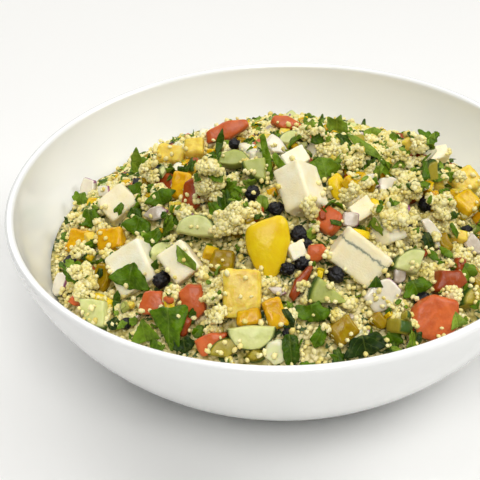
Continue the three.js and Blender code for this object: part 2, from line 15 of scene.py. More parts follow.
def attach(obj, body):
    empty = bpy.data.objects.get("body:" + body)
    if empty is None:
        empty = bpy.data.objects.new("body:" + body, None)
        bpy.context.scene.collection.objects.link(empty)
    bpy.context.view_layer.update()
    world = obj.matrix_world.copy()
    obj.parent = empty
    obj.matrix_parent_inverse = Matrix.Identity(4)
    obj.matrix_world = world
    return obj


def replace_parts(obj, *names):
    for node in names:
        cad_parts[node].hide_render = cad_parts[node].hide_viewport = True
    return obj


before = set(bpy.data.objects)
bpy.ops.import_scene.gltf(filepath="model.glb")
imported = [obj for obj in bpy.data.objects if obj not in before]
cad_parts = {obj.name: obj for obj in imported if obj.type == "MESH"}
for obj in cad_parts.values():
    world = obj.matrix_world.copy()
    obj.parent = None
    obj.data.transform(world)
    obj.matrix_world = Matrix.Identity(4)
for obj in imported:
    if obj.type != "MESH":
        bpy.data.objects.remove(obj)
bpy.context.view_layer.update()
MM = 0.001

# ---- Sizes shared with the solids ----
RIM_RADIUS = 100
BOWL_HEIGHT = 60
WALL = 3.2
BASE_RADIUS = 50
FOOT_HEIGHT = 2.4
FOOT_WIDTH = 4
FOOT_INSET = 2
FLARE = 1.35
ROUNDING = 1.31

MOUND_GAP = 0.9
MOUND_EDGE = 36.5
MOUND_PEAK = 73
MOUND_POWER = 1.8
PEAK_AT = (8, 4)

GOLDEN_TURN = math.pi * (3 - math.sqrt(5))


def draws_from(seed):
    """A small repeatable stream of draws between 0 and 1."""
    state = seed

    def draw():
        nonlocal state
        state = (state * 1664525 + 1013904223) & 0xFFFFFFFF
        return state / 4294967296

    return draw


# ---- The mix ----
# Each piece stands at x, y on the mound, its centre lifted above the bare mound. It spins in its
# own plane, then leans over by an angle towards a bearing (0 is the front of the bowl, 90 its right).

# x, y, lift, width, depth, height, bearing, lean, spin
CHEESE_BLOCKS = [
    (4, -6, 2.5, 10, 7, 7, 22, 32, 14),
    (6, -20, 3, 12, 13, 18, 14, 116, 44),
    (24.5, -44, 1.5, 19.5, 13.5, 11, 2, 62, -39),
    (-51.5, -35, 0.5, 16.5, 16.5, 11, -28, 47, 44),
    (-34.5, -41, 1, 11.5, 13, 12, -12, 50, 44),
    (-59.5, 0, 0.5, 13.5, 11.5, 12, -12, 38, 48),
    (4, -43, 1.5, 6, 6, 5, 10, 40, 15),
    (58.5, 31, 3, 9, 6, 6, 20, 30, 0),
    (26.5, -25.5, 1.5, 9, 7, 6, 20, 35, 20),
]

YELLOW_BLOCKS = [
    (-41.5, 25, 2, 11, 8, 8, -15, 30, 5),
    (-32.5, 21, 2, 8, 7.5, 7, -10, 30, 10),
    (-36.5, -2.5, 1, 7, 11, 6, -15, 40, 0),
    (66.5, 14, 2, 12, 10, 9, 30, 30, 5),
    (65, -3, 2, 9, 9, 8, 40, 35, 10),
    (-20.5, -43, 0, 8.5, 8, 7, -5, 40, -5),
    (-12, -63.5, 1.5, 8.5, 5.5, 5, 0, 40, 8),
    (-3.5, -63.5, 1, 7, 11, 6, 8, 50, 15),
    (18.5, -67, 1.5, 9.5, 8.5, 6, 12, 48, 28),
    (30, -62.5, 0.5, 5, 5.5, 5, 20, 45, 30),
    (-74, -9, 1, 9.5, 10, 6, -35, 42, 10),
    (-61, -18.5, 1, 10, 9, 7, -25, 38, 25),
    (-14, -26, 1.5, 4.5, 6, 3.5, 0, 50, 10),
    (26.5, -11, 1.5, 5, 7, 4, 10, 45, -15),
    (50, 32, 2, 7.5, 7, 7, 25, 25, 10),
    (-14, -56.5, 1.5, 13, 17, 8, 0, 50, -4),
    (-49, 10, 1, 5.5, 8, 6, -20, 30, 10),
    (53, -12, 0.5, 3.5, 11, 4, 10, 50, -4),
    (55, -27, 0.5, 5, 8, 5, 25, 45, 10),
    (64.5, -37, 1, 5, 8, 5, 35, 45, 0),
    (-63, -33.5, 1, 6.5, 10, 5, -25, 50, -6),
]

# x, y, lift, radius, thickness, angle, bearing, lean, spin
CUCUMBER_SECTORS = [
    (-29, -28.5, 1.5, 7.8, 11, 170, -8, 50, -4),
    (-17.5, 4, 2, 6.4, 9, 160, 0, 45, 4),
    (-8.5, -5.5, 2, 9, 7, 80, 0, 45, 140),
    (41.5, -43, 2, 9, 9, 100, 12, 48, 20),
    (15, -57.5, 1, 14, 6, 40, 8, 55, 63),
    (-63, -46.5, 0.5, 10, 8, 100, -25, 48, 150),
    (-11, -68.5, 0.5, 8.4, 9, 170, 0, 52, 182),
    (2.5, 16, 0.5, 6, 6, 120, 5, 40, 20),
    (-19.5, -71, 0, 7, 7, 120, 0, 50, 20),
    (62, -46.5, 1, 7, 7, 100, 40, 45, 10),
    (-10, -73.5, 0, 5, 5, 120, 0, 50, 190),
]

# x, y, lift, length, bearing, lean
CURRANTS = [
    (-22, -5, 1.5, 7, 60, 40),
    (-10.5, -17.5, 1.5, 6.4, 55, 40),
    (-2.5, -24.5, 1, 6, -5, 40),
    (5, -35, 1.5, 7, 100, 40),
    (6, -47, 1, 6.2, 20, 40),
    (1, -48.5, 1, 5.6, 10, 30),
    (16.5, -51, 1.5, 6.8, -30, 40),
    (-41.5, -44, 1.5, 6.8, 50, 50),
    (-75.5, -20, 2, 7, 5, 15),
    (49.5, -13.5, 1.5, 6.6, 80, 60),
    (41.5, -27.5, 1, 5.8, 60, 40),
    (38, -24.5, 1, 5.4, 95, 50),
    (64, -17, 0.5, 4.8, 20, 30),
    (-17.5, 15, 1, 5, 25, 20),
    (45.5, -53, 1, 6.4, 22, 20),
    (0.5, -69, 0.5, 3.8, 20, 30),
    (7.5, -38, 0.5, 4.4, -40, 30),
]

# x, y, lift, outline, width, length, thickness, curl, bearing, lean, spin
PEPPER_SLABS = [
    (-5.5, -43.5, 4.5, "shield", 15, 23, 3.4, 2.6, 4, 58, -2),
    (18.5, -17, 2, "shield", 5.6, 11.5, 2.4, 0.6, 4, 58, 10),
    (-62, -44.5, 1, "strip", 8, 5, 2, 1, -20, 50, -12),
    (33, -21.5, 0.5, "strip", 8.6, 3.4, 2, 0.4, 10, 45, -34),
    (27.5, 8, 1, "wedge", 6.5, 5.5, 3, 0.8, 10, 35, 0),
    (25.5, -36.5, 1, "strip", 6.5, 3.4, 2, 0.4, 10, 45, -20),
    (11.5, -50.5, 0.5, "strip", 2.6, 4.4, 1.6, 0.3, 0, 55, -10),
    (14.5, 23, 1, "strip", 2.4, 3.6, 1.6, 0.2, 0, 55, 10),
]

TOMATO_SLABS = [
    (-20.5, 26, 2.5, "arc", 18, 7, 5, 0.6, 0, 50, 24),
    (1.5, 31, 2, "arc", 12.5, 5.5, 5, 0.6, 0, 45, -12),
    (-32, -12, 2, "pane", 7, 13, 4, 1, -8, 55, -6),
    (-30.5, -55, 1.5, "pane", 9, 12.5, 5, 1.6, -5, 55, 4),
    (-44, -52.5, 1.5, "wedge", 10.5, 9, 5, 1.2, -12, 52, 12),
    (-23.5, -69, 1.5, "fang", 12, 8, 4, 0.6, -5, 55, 40),
    (48.5, -59, 2.5, "pane5", 19.5, 16, 6, 2.4, 18, 55, 14),
    (54, -43.5, 1.5, "wedge", 13.5, 8.8, 8, 3, 22, 50, -8),
    (10.5, -44, 2, "wedge", 8, 6.4, 4, 0.8, 5, 52, 14),
    (5, -53.5, 1, "arc", 14, 4, 4, 0.4, 5, 55, 58),
    (-72, -38.5, 0.5, "wedge", 6, 4, 4, 0.6, -30, 48, 0),
    (59.5, -35, 1.5, "strip", 3.8, 5, 4, 0.4, 25, 50, -20),
    (-33, -62, 0.5, "strip", 3.4, 7, 3, 0.4, -5, 58, -14),
    (47, -35, 1, "strip", 3, 3, 2.4, 0.2, 15, 50, 20),
]

ONION_SLABS = [
    (-76, 33, 2.5, "strip", 7, 6.5, 3, 0.8, -25, 50, 90),
    (-45, -15, 1.5, "blade", 9.5, 5.5, 2.4, 1.2, -8, 48, 10),
    (-1.5, 5.5, 1, "fang", 11, 6.5, 2, 0.8, 0, 48, -30),
    (30.5, -10, 1.5, "strip", 5.5, 6, 2, 0.8, 10, 48, 10),
    (37.5, -9, 1.5, "pane", 9, 6.5, 2, 1, 12, 45, -20),
    (22.5, -31, 1, "strip", 5.5, 5.5, 2, 0.6, 6, 50, -8),
    (51.5, -26.5, 1.5, "arc", 14.5, 4.6, 2.2, 0.6, 20, 55, -66),
    (66.5, -22.5, 0.5, "fang", 9, 7, 2.2, 0.8, 30, 50, -50),
    (38, -47, 1, "strip", 4, 6, 2, 0.6, 12, 52, -10),
    (32, -54.5, 1.5, "pane", 12.5, 10, 2.4, 1.2, 10, 54, 26),
    (-2.5, -56, 1, "blade", 6.5, 3.2, 2, 0.6, 0, 52, -22),
    (-79.5, -27, 1, "strip", 5, 9, 2.4, 1, -40, 50, 10),
    (-3, -73.5, 0.5, "pane5", 9.5, 8.5, 4, 1.4, 0, 58, 10),
    (24, -67.5, 0.5, "blade", 7.5, 4, 2, 0.6, 10, 55, 20),
    (-68, 20, 1.5, "strip", 4.4, 4.4, 2, 0.5, -20, 48, 20),
]

# x, y, lift, outline, width, length, curl, ripple, bearing, lean, spin
LEAVES = [
    (20.5, 29, 2.2, "lobed", 8, 8.5, 1.2, 0.6, 0, 75, 5),
    (29, 8, 3, "blade", 17, 4, 1.4, 0.3, 5, 52, -41),
    (21, 9, 1.5, "cut", 8.5, 8, 1.2, 0.6, 0, 50, 10),
    (14.5, -8, 1, "lobed", 11.5, 9, 1.2, 0.8, 0, 52, 190),
    (-23, 17, 2.2, "blade", 11, 3, 0.6, 0.2, 0, 60, 74),
    (-25, 1, 2, "stem", 13, 1.6, 1.6, 0.3, -5, 55, 66),
    (-5.5, -4.5, 4, "stem", 17, 3, 1.6, 1.2, 0, 58, -80),
    (-0.5, -11.5, 5, "stem", 10, 3, 1, 0.6, 0, 58, -58),
    (-56, 32, 4, "blade", 13, 4.5, 0.6, 0.3, -10, 82, 85),
    (-55, 32, 1.5, "cut", 9.5, 6.6, 1, 0.4, -10, 65, 28),
    (-43.5, -7.5, 0.8, "blade", 12.5, 6, 1.6, 0.5, -8, 52, 22),
    (-71, 2.5, 1.5, "cut", 9, 7.2, 1.2, 0.5, -20, 52, 20),
    (-77.5, 24, 2, "lobed", 7, 6, 1.4, 0.6, -20, 50, 0),
    (-52, -40.5, 4.5, "kite", 15.5, 9.6, 1.8, 0.7, -12, 54, -6),
    (-38, -63, 2.2, "flag", 13.5, 15.5, 1.2, 0.6, -4, 58, 2),
    (-46.5, -61, 1.5, "triangle", 11, 9, 0.8, 0.5, -6, 58, 12),
    (-33, -44.5, 6.8, "kite2", 5.4, 11, 0.5, 0.3, -8, 54, 34),
    (1.5, -75, 3, "pane", 5.6, 11, 1.6, 0.6, 0, 62, 4),
    (25, -71, 2, "cut", 16, 7.4, 1.4, 0.6, 8, 60, 12),
    (10.5, -70, 1, "cut", 5, 8, 1, 0.5, 4, 58, -30),
    (34, -67, 0.6, "torn", 7, 7, 1, 0.6, 14, 56, 20),
    (43, -50, 1, "cut", 11, 6, 1, 0.4, 14, 52, 14),
    (55.5, -60.5, 7, "triangle", 6.6, 6, 0.5, 0.2, 20, 54, 4),
    (29.5, -53, 4.4, "triangle", 5.2, 4.6, 0.5, 0.2, 8, 54, -8),
    (32, -27.5, 3, "triangle", 3.8, 6, 0.4, 0.2, 8, 52, 186),
    (49, -30, 0.8, "pane", 3.8, 7, 0.6, 0.3, 15, 54, 10),
    (50, -34, 0.5, "blade", 6, 3, 0.5, 0.2, 15, 54, -60),
    (8.5, -62.5, 0.8, "lobed", 11.5, 7, 1.8, 0.7, 4, 54, 4),
    (0.5, -66, 1.5, "cut", 4.6, 7.4, 0.8, 0.4, 2, 56, 20),
    (-19.5, -23.5, 1.5, "torn", 6, 14, 1.4, 0.8, -2, 52, 8),
    (-23.5, -24, 1.5, "cut", 5, 7, 0.8, 0.5, -4, 52, 30),
    (-7.5, -22, 1, "cut", 5.4, 6, 0.8, 0.4, 0, 50, 0),
    (-51.5, -16.5, 1, "cut", 11.5, 7, 1.4, 0.5, -10, 44, -14),
    (-45.5, -24.5, 1, "cut", 6, 8, 1, 0.5, -8, 50, -40),
    (-59, -6, 3.5, "cut", 3.4, 5.4, 0.6, 0.3, -12, 52, -20),
    (-53, -10, 1, "cut", 5.6, 4.4, 0.6, 0.3, -12, 50, 10),
    (33, 27, 1, "blade", 8, 4, 0.8, 0.4, 10, 50, 0),
    (41, 31, 1.5, "cut", 4.4, 5.4, 0.6, 0.3, 15, 50, -40),
    (46.5, 23, 1, "cut", 5, 5.6, 0.6, 0.3, 20, 50, 20),
    (11, 30, 1.5, "lobed", 5.6, 5, 0.8, 0.4, 0, 50, 20),
    (-53, 4.5, 2, "cut", 6.4, 5.6, 0.8, 0.4, -12, 50, -30),
    (55, -31, 0.5, "blade", 7, 2.8, 0.5, 0.2, 20, 54, -52),
    (61.5, -38, 2.5, "torn", 7, 6.4, 1, 0.5, 26, 52, 20),
    (61, -43.5, 2, "cut", 3.6, 3.8, 0.4, 0.2, 28, 54, 0),
    (62.5, -46.5, 0.8, "cut", 3.8, 5, 0.4, 0.2, 30, 56, 10),
    (59, -13.5, 0.5, "blade", 5.6, 3, 0.5, 0.2, 20, 50, 0),
    (42, -66, 2, "cut", 4.2, 6, 0.5, 0.2, 14, 58, -20),
    (-74, -23, 0.6, "cut", 3.4, 3.6, 0.4, 0.2, -25, 52, 0),
    (-30.5, -60, 2, "blade", 5.6, 3, 0.5, 0.2, -4, 58, 80),
    (-33, -67.5, 0.5, "torn", 7.4, 5.6, 1, 0.6, -4, 58, 10),
    (-14, -34, 0.2, "blade", 4.6, 2.2, 0.5, 0.2, 0, 54, -36),
    (-44, -39.5, 2.5, "blade", 6.4, 3, 0.8, 0.3, -8, 56, 70),
    (-57.5, -53.5, 0.5, "cut", 4.4, 5, 0.5, 0.3, -15, 54, -30),
    (-57, -46, 1, "blade", 8.4, 2.8, 0.6, 0.3, -10, 58, 80),
    (-63.5, -34.5, 4, "cut", 2.6, 3.6, 0.3, 0.1, -18, 54, 0),
]

# The row of the cheese that has a blue vein.
VEINED = 2

# The outline of each flat piece, as shares of its width and length.
OUTLINES = {
    "shield": [
        (-0.44, 0.32), (-0.5, 0.04), (-0.38, -0.22), (0.02, -0.5),
        (0.36, -0.28), (0.5, 0.08), (0.46, 0.38), (0.28, 0.5),
    ],
    "wedge": [(-0.5, -0.3), (0.1, -0.5), (0.5, -0.1), (0.36, 0.4), (-0.2, 0.5)],
    "triangle": [(-0.5, -0.42), (0.5, -0.36), (0.26, 0.1), (0.04, 0.5), (-0.24, 0.06)],
    "strip": [(-0.5, -0.4), (0, -0.5), (0.5, -0.34), (0.5, 0.4), (0, 0.5), (-0.5, 0.46)],
    "pane": [(-0.42, -0.36), (0.12, -0.5), (0.5, -0.2), (0.42, 0.42), (-0.1, 0.5), (-0.5, 0.3)],
    "pane5": [(-0.5, -0.06), (-0.16, -0.5), (0.34, -0.34), (0.5, 0.1), (0.1, 0.5), (-0.26, 0.4)],
    "arc": [(-0.5, -0.2), (0, -0.5), (0.5, -0.3), (0.46, 0.1), (0, 0.5), (-0.42, 0.36)],
    "fang": [(-0.5, -0.2), (-0.1, -0.46), (0.5, -0.1), (0, 0.4), (-0.4, 0.5)],
    "lobed": [
        (0.04, -0.5), (0.42, -0.36), (0.5, 0.06), (0.3, 0.16), (0.24, 0.5),
        (-0.1, 0.3), (-0.4, 0.44), (-0.5, 0), (-0.3, -0.3),
    ],
    "torn": [
        (-0.5, -0.2), (-0.1, -0.5), (0.34, -0.36), (0.5, 0.1),
        (0.16, 0.5), (-0.16, 0.24), (-0.44, 0.34),
    ],
    "blade": [(-0.5, -0.06), (-0.14, -0.46), (0.24, -0.4), (0.5, 0.1), (0.16, 0.5), (-0.2, 0.36)],
    "cut": [(-0.5, -0.22), (0.06, -0.5), (0.5, -0.2), (0.34, 0.42), (-0.2, 0.5)],
    "kite": [(-0.5, -0.24), (0, -0.5), (0.5, -0.36), (0.44, -0.1), (0.04, 0.5), (-0.24, 0.2)],
    "kite2": [(-0.2, -0.2), (0.16, -0.5), (0.5, -0.36), (0.26, 0.06), (-0.06, 0.5), (-0.5, 0)],
    "flag": [
        (0.06, -0.5), (0.24, -0.44), (0.3, -0.06), (0.5, 0.34),
        (0.4, 0.5), (-0.5, 0.4), (-0.24, -0.02),
    ],
    "stem": [(-0.5, -0.3), (0, -0.5), (0.5, -0.3), (0.5, 0.3), (0, 0.5), (-0.5, 0.3)],
}


# ---- Bowl and mound shapes ----


def outer_wall(a):
    """A point of the bowl's outer wall, as radius and height. The angle a runs from 0 at the base."""
    radius = BASE_RADIUS + (RIM_RADIUS - BASE_RADIUS) * math.sin(a) ** FLARE
    height = BOWL_HEIGHT - (BOWL_HEIGHT - FOOT_HEIGHT) * max(math.cos(a), 0) ** ROUNDING
    return np.array([radius, height])


def inset_wall(a, depth):
    """The point that lies in from the outer wall by a depth, square to it."""
    step = 1e-3
    along = outer_wall(min(a + step, math.pi / 2)) - outer_wall(max(a - step, 0))
    along /= np.linalg.norm(along)
    return outer_wall(a) + depth * np.array([-along[1], along[0]])


TOP_ANGLE = math.acos((WALL / 2 / (BOWL_HEIGHT - FOOT_HEIGHT)) ** (1 / ROUNDING))


def wall_angle_at(height, depth):
    """The wall angle at which the inset wall reaches a height."""
    low, high = 0, TOP_ANGLE
    for _ in range(40):
        middle = (low + high) / 2
        if inset_wall(middle, depth)[1] < height:
            low = middle
        else:
            high = middle
    return low


EDGE_ANGLE = wall_angle_at(MOUND_EDGE, WALL + MOUND_GAP)
MOUND_RADIUS = inset_wall(EDGE_ANGLE, WALL + MOUND_GAP)[0]


def lumps(x, y):
    """The uneven swells of the mound's top."""
    return 1.3 * np.sin(x / 8.1 + 1.3) * np.cos(y / 9.7 + 0.4) + 0.7 * np.sin((x + 1.4 * y) / 5.3)


def mound_height(x, y):
    """The height of the bare mound, a dome that leans towards its peak."""
    reach = np.minimum(np.hypot(x, y) / MOUND_RADIUS, 1)
    from_peak = np.hypot(x - PEAK_AT[0] * (1 - reach), y - PEAK_AT[1] * (1 - reach)) / MOUND_RADIUS
    dome = MOUND_EDGE + (MOUND_PEAK - MOUND_EDGE) * (1 - from_peak**MOUND_POWER)
    return dome + lumps(x, y) * (1 - reach**4)


# ---- Noise ----


def hash01(n):
    """A repeatable number from 0 to 1 for each whole number."""
    n = np.asarray(n, np.uint64) * np.uint64(0x9E3779B97F4A7C15)
    n ^= n >> np.uint64(29)
    n *= np.uint64(0xBF58476D1CE4E5B9)
    n ^= n >> np.uint64(32)
    return (n >> np.uint64(40)).astype(float) / float(1 << 24)


def value_noise(points, seed):
    """Smooth noise in -1..1 at each of the points, one cell to a unit."""
    cell = np.floor(points).astype(np.int64)
    f = points - cell
    f = f * f * (3 - 2 * f)
    total = np.zeros(len(points))
    for corner in range(8):
        offset = np.array([corner & 1, corner >> 1 & 1, corner >> 2 & 1])
        c = (cell + offset).astype(np.int64) + 4096
        key = (c[:, 0] * 73856093) ^ (c[:, 1] * 19349663) ^ (c[:, 2] * 83492791) ^ (seed * 7919 + 11)
        weight = np.prod(np.where(offset == 1, f, 1 - f), axis=1)
        total += weight * hash01(key)
    return total * 2 - 1


# ---- Mesh building ----


class Batch:
    """Meshes of one kind, gathered into one object. Each vertex keeps its place in its own piece."""

    def __init__(self):
        self.points, self.faces, self.local, self.tint, self.rind = [], [], [], [], []
        self.count = 0

    def add(self, shape, points, tint):
        """Adds a shape at its placed points. A shape is its own points, its faces, each vertex's place in
        the piece and, for some, marks where the skin is."""
        _, faces, local, *rind = shape
        self.points.append(points)
        self.faces.append(np.asarray(faces, np.int32) + self.count)
        self.local.append(local)
        self.tint.append(np.full(len(points), tint) if np.isscalar(tint) else tint)
        self.rind.append(rind[0] if rind else np.zeros(len(points)))
        self.count += len(points)

    def make(self, name, material):
        """Makes the object. What the material reads at each vertex goes along as attributes."""
        points = np.concatenate(self.points)
        faces = np.concatenate(self.faces)
        mesh = bpy.data.meshes.new(name)
        mesh.vertices.add(len(points))
        mesh.vertices.foreach_set("co", (points * MM).astype(np.float32).ravel())
        mesh.loops.add(faces.size)
        mesh.loops.foreach_set("vertex_index", faces.ravel())
        mesh.polygons.add(len(faces))
        mesh.polygons.foreach_set("loop_start", np.arange(0, faces.size, 3, dtype=np.int32))
        mesh.polygons.foreach_set("use_smooth", np.full(len(faces), True))
        for label, values in (("local", self.local), ("tint", self.tint), ("rind", self.rind)):
            kind, field = ("FLOAT_VECTOR", "vector") if label == "local" else ("FLOAT", "value")
            layer = mesh.attributes.new(label, kind, "POINT")
            layer.data.foreach_set(field, np.concatenate(values).astype(np.float32).ravel())
        mesh.update(calc_edges=True)
        mesh.validate()
        mesh.materials.append(material)
        thing = bpy.data.objects.new(name, mesh)
        bpy.context.scene.collection.objects.link(thing)
        return thing


def grid_faces(rows, columns, closed):
    """Triangles over a grid of points in row order, joined end to end along its rows when closed."""
    faces = []
    for r in range(rows - 1):
        for c in range(columns if closed else columns - 1):
            a, b = r * columns + c, r * columns + (c + 1) % columns
            faces += [(a, b, b + columns), (a, b + columns, a + columns)]
    return faces


def rotation(bearing, lean, spin):
    """Spins a piece in its own plane, leans it over and turns it to its bearing."""

    def turn(angle, i, j):
        m = np.eye(3)
        c, s = math.cos(math.radians(angle)), math.sin(math.radians(angle))
        m[i, i], m[j, j], m[i, j], m[j, i] = c, c, -s, s
        return m

    return turn(bearing, 0, 1) @ turn(lean, 1, 2) @ turn(spin, 0, 1)


def placed(points, x, y, lift, bearing, lean, spin):
    """The points of a piece in its place on the mound."""
    return points @ rotation(bearing, lean, spin).T + [x, y, float(mound_height(x, y)) + lift]


# The gap that the salad keeps to the bowl's wall.
WALL_CLEARANCE = 0.35


def keep_inside(points):
    """Moves what would cross the bowl's wall straight inwards to just clear of it."""
    wall = np.array([inset_wall(a, WALL + WALL_CLEARANCE) for a in np.linspace(0, TOP_ANGLE, 60)])
    reach = np.interp(points[:, 2], wall[:, 1], wall[:, 0])
    radius = np.hypot(points[:, 0], points[:, 1])
    pull = np.minimum(1, reach / np.maximum(radius, 1e-6))
    return points * np.column_stack([pull, pull, np.ones_like(pull)])


# ---- Shapes of the pieces, each centred on its own origin ----

# How far a block's corners may be drawn in, as a share of its sides.
BLOCK_SLACK = 0.16


def block_corners(width, depth, height, seed):
    """The corners of a block, each drawn in a little, as a knife leaves them."""
    draw = draws_from(seed)
    corners = np.zeros((2, 2, 2, 3))
    for i, j, k in np.ndindex(2, 2, 2):
        for axis, (side, length) in enumerate(zip((i, j, k), (width, depth, height))):
            corners[i, j, k, axis] = (side - 0.5) * length * (1 - BLOCK_SLACK * draw())
    return corners


def block(width, depth, height, seed, bevel=0.9, rough=0.25, grain=2.2, steps=13):
    """A diced block with worn edges and a finely uneven skin."""
    half = np.array([width, depth, height]) / 2
    t = np.linspace(-1, 1, steps)
    t = np.sign(t) * np.abs(t) ** 0.7
    a, b = (m.ravel() for m in np.meshgrid(t, t, indexing="ij"))
    sides, faces = [], []
    for axis in range(3):
        for sign in (-1, 1):
            side = np.zeros((steps * steps, 3))
            side[:, axis] = sign
            u, v = [k for k in range(3) if k != axis]
            side[:, u], side[:, v] = a, b
            quads = np.array(grid_faces(steps, steps, False)) + len(sides) * steps * steps
            faces.append(quads[:, ::-1] if (sign > 0) == (axis == 1) else quads)
            sides.append(side)
    unit = np.concatenate(sides)
    inner = np.clip(unit * half, bevel - half, half - bevel)
    out = unit * half - inner
    length = np.maximum(np.linalg.norm(out, axis=1, keepdims=True), 1e-6)
    unit = (inner + out / length * np.minimum(bevel, length)) / half
    corners = block_corners(width, depth, height, seed)
    share = (unit + 1) / 2
    points = np.zeros_like(unit)
    for corner in np.ndindex(2, 2, 2):
        weight = np.prod(np.where(np.array(corner) == 1, share, 1 - share), axis=1)
        points += weight[:, None] * corners[corner]
    normal = unit / np.linalg.norm(unit, axis=1, keepdims=True)
    bump = value_noise(points / grain + seed * 3.1, seed) + 0.5 * value_noise(points / grain * 2.3, seed + 5)
    points = points + normal * (bump * rough)[:, None]
    return merged(points, np.concatenate(faces))


def merged(points, faces):
    """Joins vertices that share a place, so that shading runs smoothly over the edges."""
    _, first, back = np.unique(np.round(points, 3), axis=0, return_index=True, return_inverse=True)
    faces = back.reshape(-1)[np.asarray(faces)]
    keep = (faces[:, 0] != faces[:, 1]) & (faces[:, 1] != faces[:, 2]) & (faces[:, 0] != faces[:, 2])
    return points[first], faces[keep], points[first]


def outline_points(corners, width, length, count, rounding=1):
    """Evenly spaced points round a polygon, its corners slightly rounded off."""
    ring = np.array(corners + [corners[0]], float) * [width, length]
    run = np.concatenate([[0], np.cumsum(np.linalg.norm(np.diff(ring, axis=0), axis=1))])
    at = np.linspace(0, run[-1], count, endpoint=False)
    points = np.stack([np.interp(at, run, ring[:, k]) for k in (0, 1)], 1)
    for _ in range(rounding):
        points = (np.roll(points, 1, 0) + 2 * points + np.roll(points, -1, 0)) / 4
    return points


def shell(ring, top, bend, bulge=0.0):
    """A closed skin over a ring of points. Its upper half has a layer for each step of top, at that share
    of the ring and that height over the bend. The lower half mirrors it, without the bulge."""
    steps = [(share, height + bulge * (1 - share * share)) for share, height in top]
    steps += [(share, -height) for share, height in reversed(top)]
    layers = []
    for share, height in steps:
        x, y = ring.T * share
        layers.append(np.column_stack([x, y, bend(x, y) + height]))
    faces = [(a, c, b) for a, b, c in grid_faces(len(steps), len(ring), True)]
    shares = np.repeat([share for share, _ in steps], len(ring))
    return np.concatenate(layers), np.array(faces), shares


def slab(ring, thickness, bend, edge, bulge, rough, grain, seed, skin=None, inner=(0.4, 0.75)):
    """A slab with worn edges and a bulging top. skin marks the ring's points whose side is skin."""
    worn = min(edge, thickness * 0.45) / np.hypot(*ring.T).mean()
    half = thickness / 2
    top = [(0.001, half)] + [(share, half) for share in inner] + [(1 - worn, half)]
    top += [(1 - worn * 0.3, half * 0.72), (1, half * 0.3)]
    local, faces, shares = shell(ring, top, bend, bulge)
    away = local - local.mean(0)
    away /= np.linalg.norm(away, axis=1, keepdims=True) + 1e-9
    points = local + away * (rough * value_noise(local / grain + seed * 2.7, seed))[:, None]
    marks = np.zeros(len(ring)) if skin is None else skin
    return points, faces, local, np.tile(marks, 2 * len(top)) * (shares > 1 - worn * 0.5)


def bend_of(width, length, curl, ripple=0.0):
    """The height of a curled and rippled sheet at x, y."""

    def bend(x, y):
        sag = curl * (0.35 - (x / width) ** 2 * 1.8 - (y / length) ** 2)
        return sag + ripple * np.sin(x * 7 / width + y * 3 / length)

    return bend


def sector(radius, thickness, angle, seed, count=48):
    """A slice of a cucumber cut into a sector, its skin on the round side."""
    half = math.radians(angle / 2)
    sweep = np.linspace(math.pi / 2 - half, math.pi / 2 + half, 9)
    low = -radius * 0.45
    corners = [(0, low)] + [(radius * math.cos(a), low + radius * math.sin(a)) for a in sweep]
    ring = outline_points(corners, 1, 1, count)
    on_arc = np.hypot(ring[:, 0], ring[:, 1] - low) > radius * 0.93
    bend = bend_of(radius, radius, 0.0)
    return slab(ring, thickness, bend, 0.9, 0.3, 0.25, 2.6, seed, on_arc.astype(float))


LEAF_THICKNESS = 0.35
LEAF_FOLD = 0.24


def leaf(outline, width, length, curl, ripple, seed, count=44, inner=(0.3, 0.6, 0.85), frill=0.05):
    """A piece of chopped leaf, crinkled and folded a little along its midrib."""
    ring = outline_points(OUTLINES[outline], width, length, count)
    turn = np.arctan2(ring[:, 1], ring[:, 0])
    ring *= 1 + frill * (2 * np.abs(np.sin(turn * 3.5 + seed)) - 1)[:, None]
    ring *= 1 + 0.02 * np.sin(turn * 13 + seed * 2)[:, None]
    smooth = bend_of(width, length, curl, ripple)
    fold = 0.0 if outline == "stem" else LEAF_FOLD

    def bend(x, y):
        folds = value_noise(np.column_stack([x, y, x * 0 + seed * 1.7]) / 2.6, seed)
        crinkle = min(width, length) * 0.13 * (folds + 0.7)
        return smooth(x, y) + crinkle + fold * np.minimum(np.abs(x), 4)

    half = LEAF_THICKNESS / 2
    top = [(0.001, half)] + [(share, half) for share in inner] + [(1, half * 0.4)]
    points, faces, _ = shell(ring, top, bend)
    return points, faces, points


def sphere_mesh(detail):
    """The points and triangles of a ball of radius 1."""
    bm = bmesh.new()
    bmesh.ops.create_icosphere(bm, subdivisions=detail, radius=1)
    points = np.array([v.co for v in bm.verts])
    faces = np.array([[v.index for v in f.verts] for f in bm.faces])
    bm.free()
    return points, faces


def currant(length, seed, detail=4):
    """A dried currant, long and wrinkled."""
    unit, faces = sphere_mesh(detail)
    fold = 1 - np.abs(value_noise(unit * 2.6 + seed * 4.3, seed)) * 2
    fine = 1 - np.abs(value_noise(unit * 5.5 + seed, seed + 3)) * 2
    swell = 1 - 0.3 * np.clip(fold, 0, 1) ** 2 - 0.1 * np.clip(fine, 0, 1) ** 2
    swell += 0.1 * value_noise(unit * 1.2 + seed * 7.7, seed + 9)
    points = unit * swell[:, None] * [length / 2, length * 0.42, length * 0.4]
    return points, faces, points


# ---- Materials ----


def srgb(code):
    """A colour for a shader, from its usual six-digit code."""
    parts = [int(code[i : i + 2], 16) / 255 for i in (0, 2, 4)]
    return [p / 12.92 if p <= 0.04045 else ((p + 0.055) / 1.055) ** 2.4 for p in parts] + [1.0]


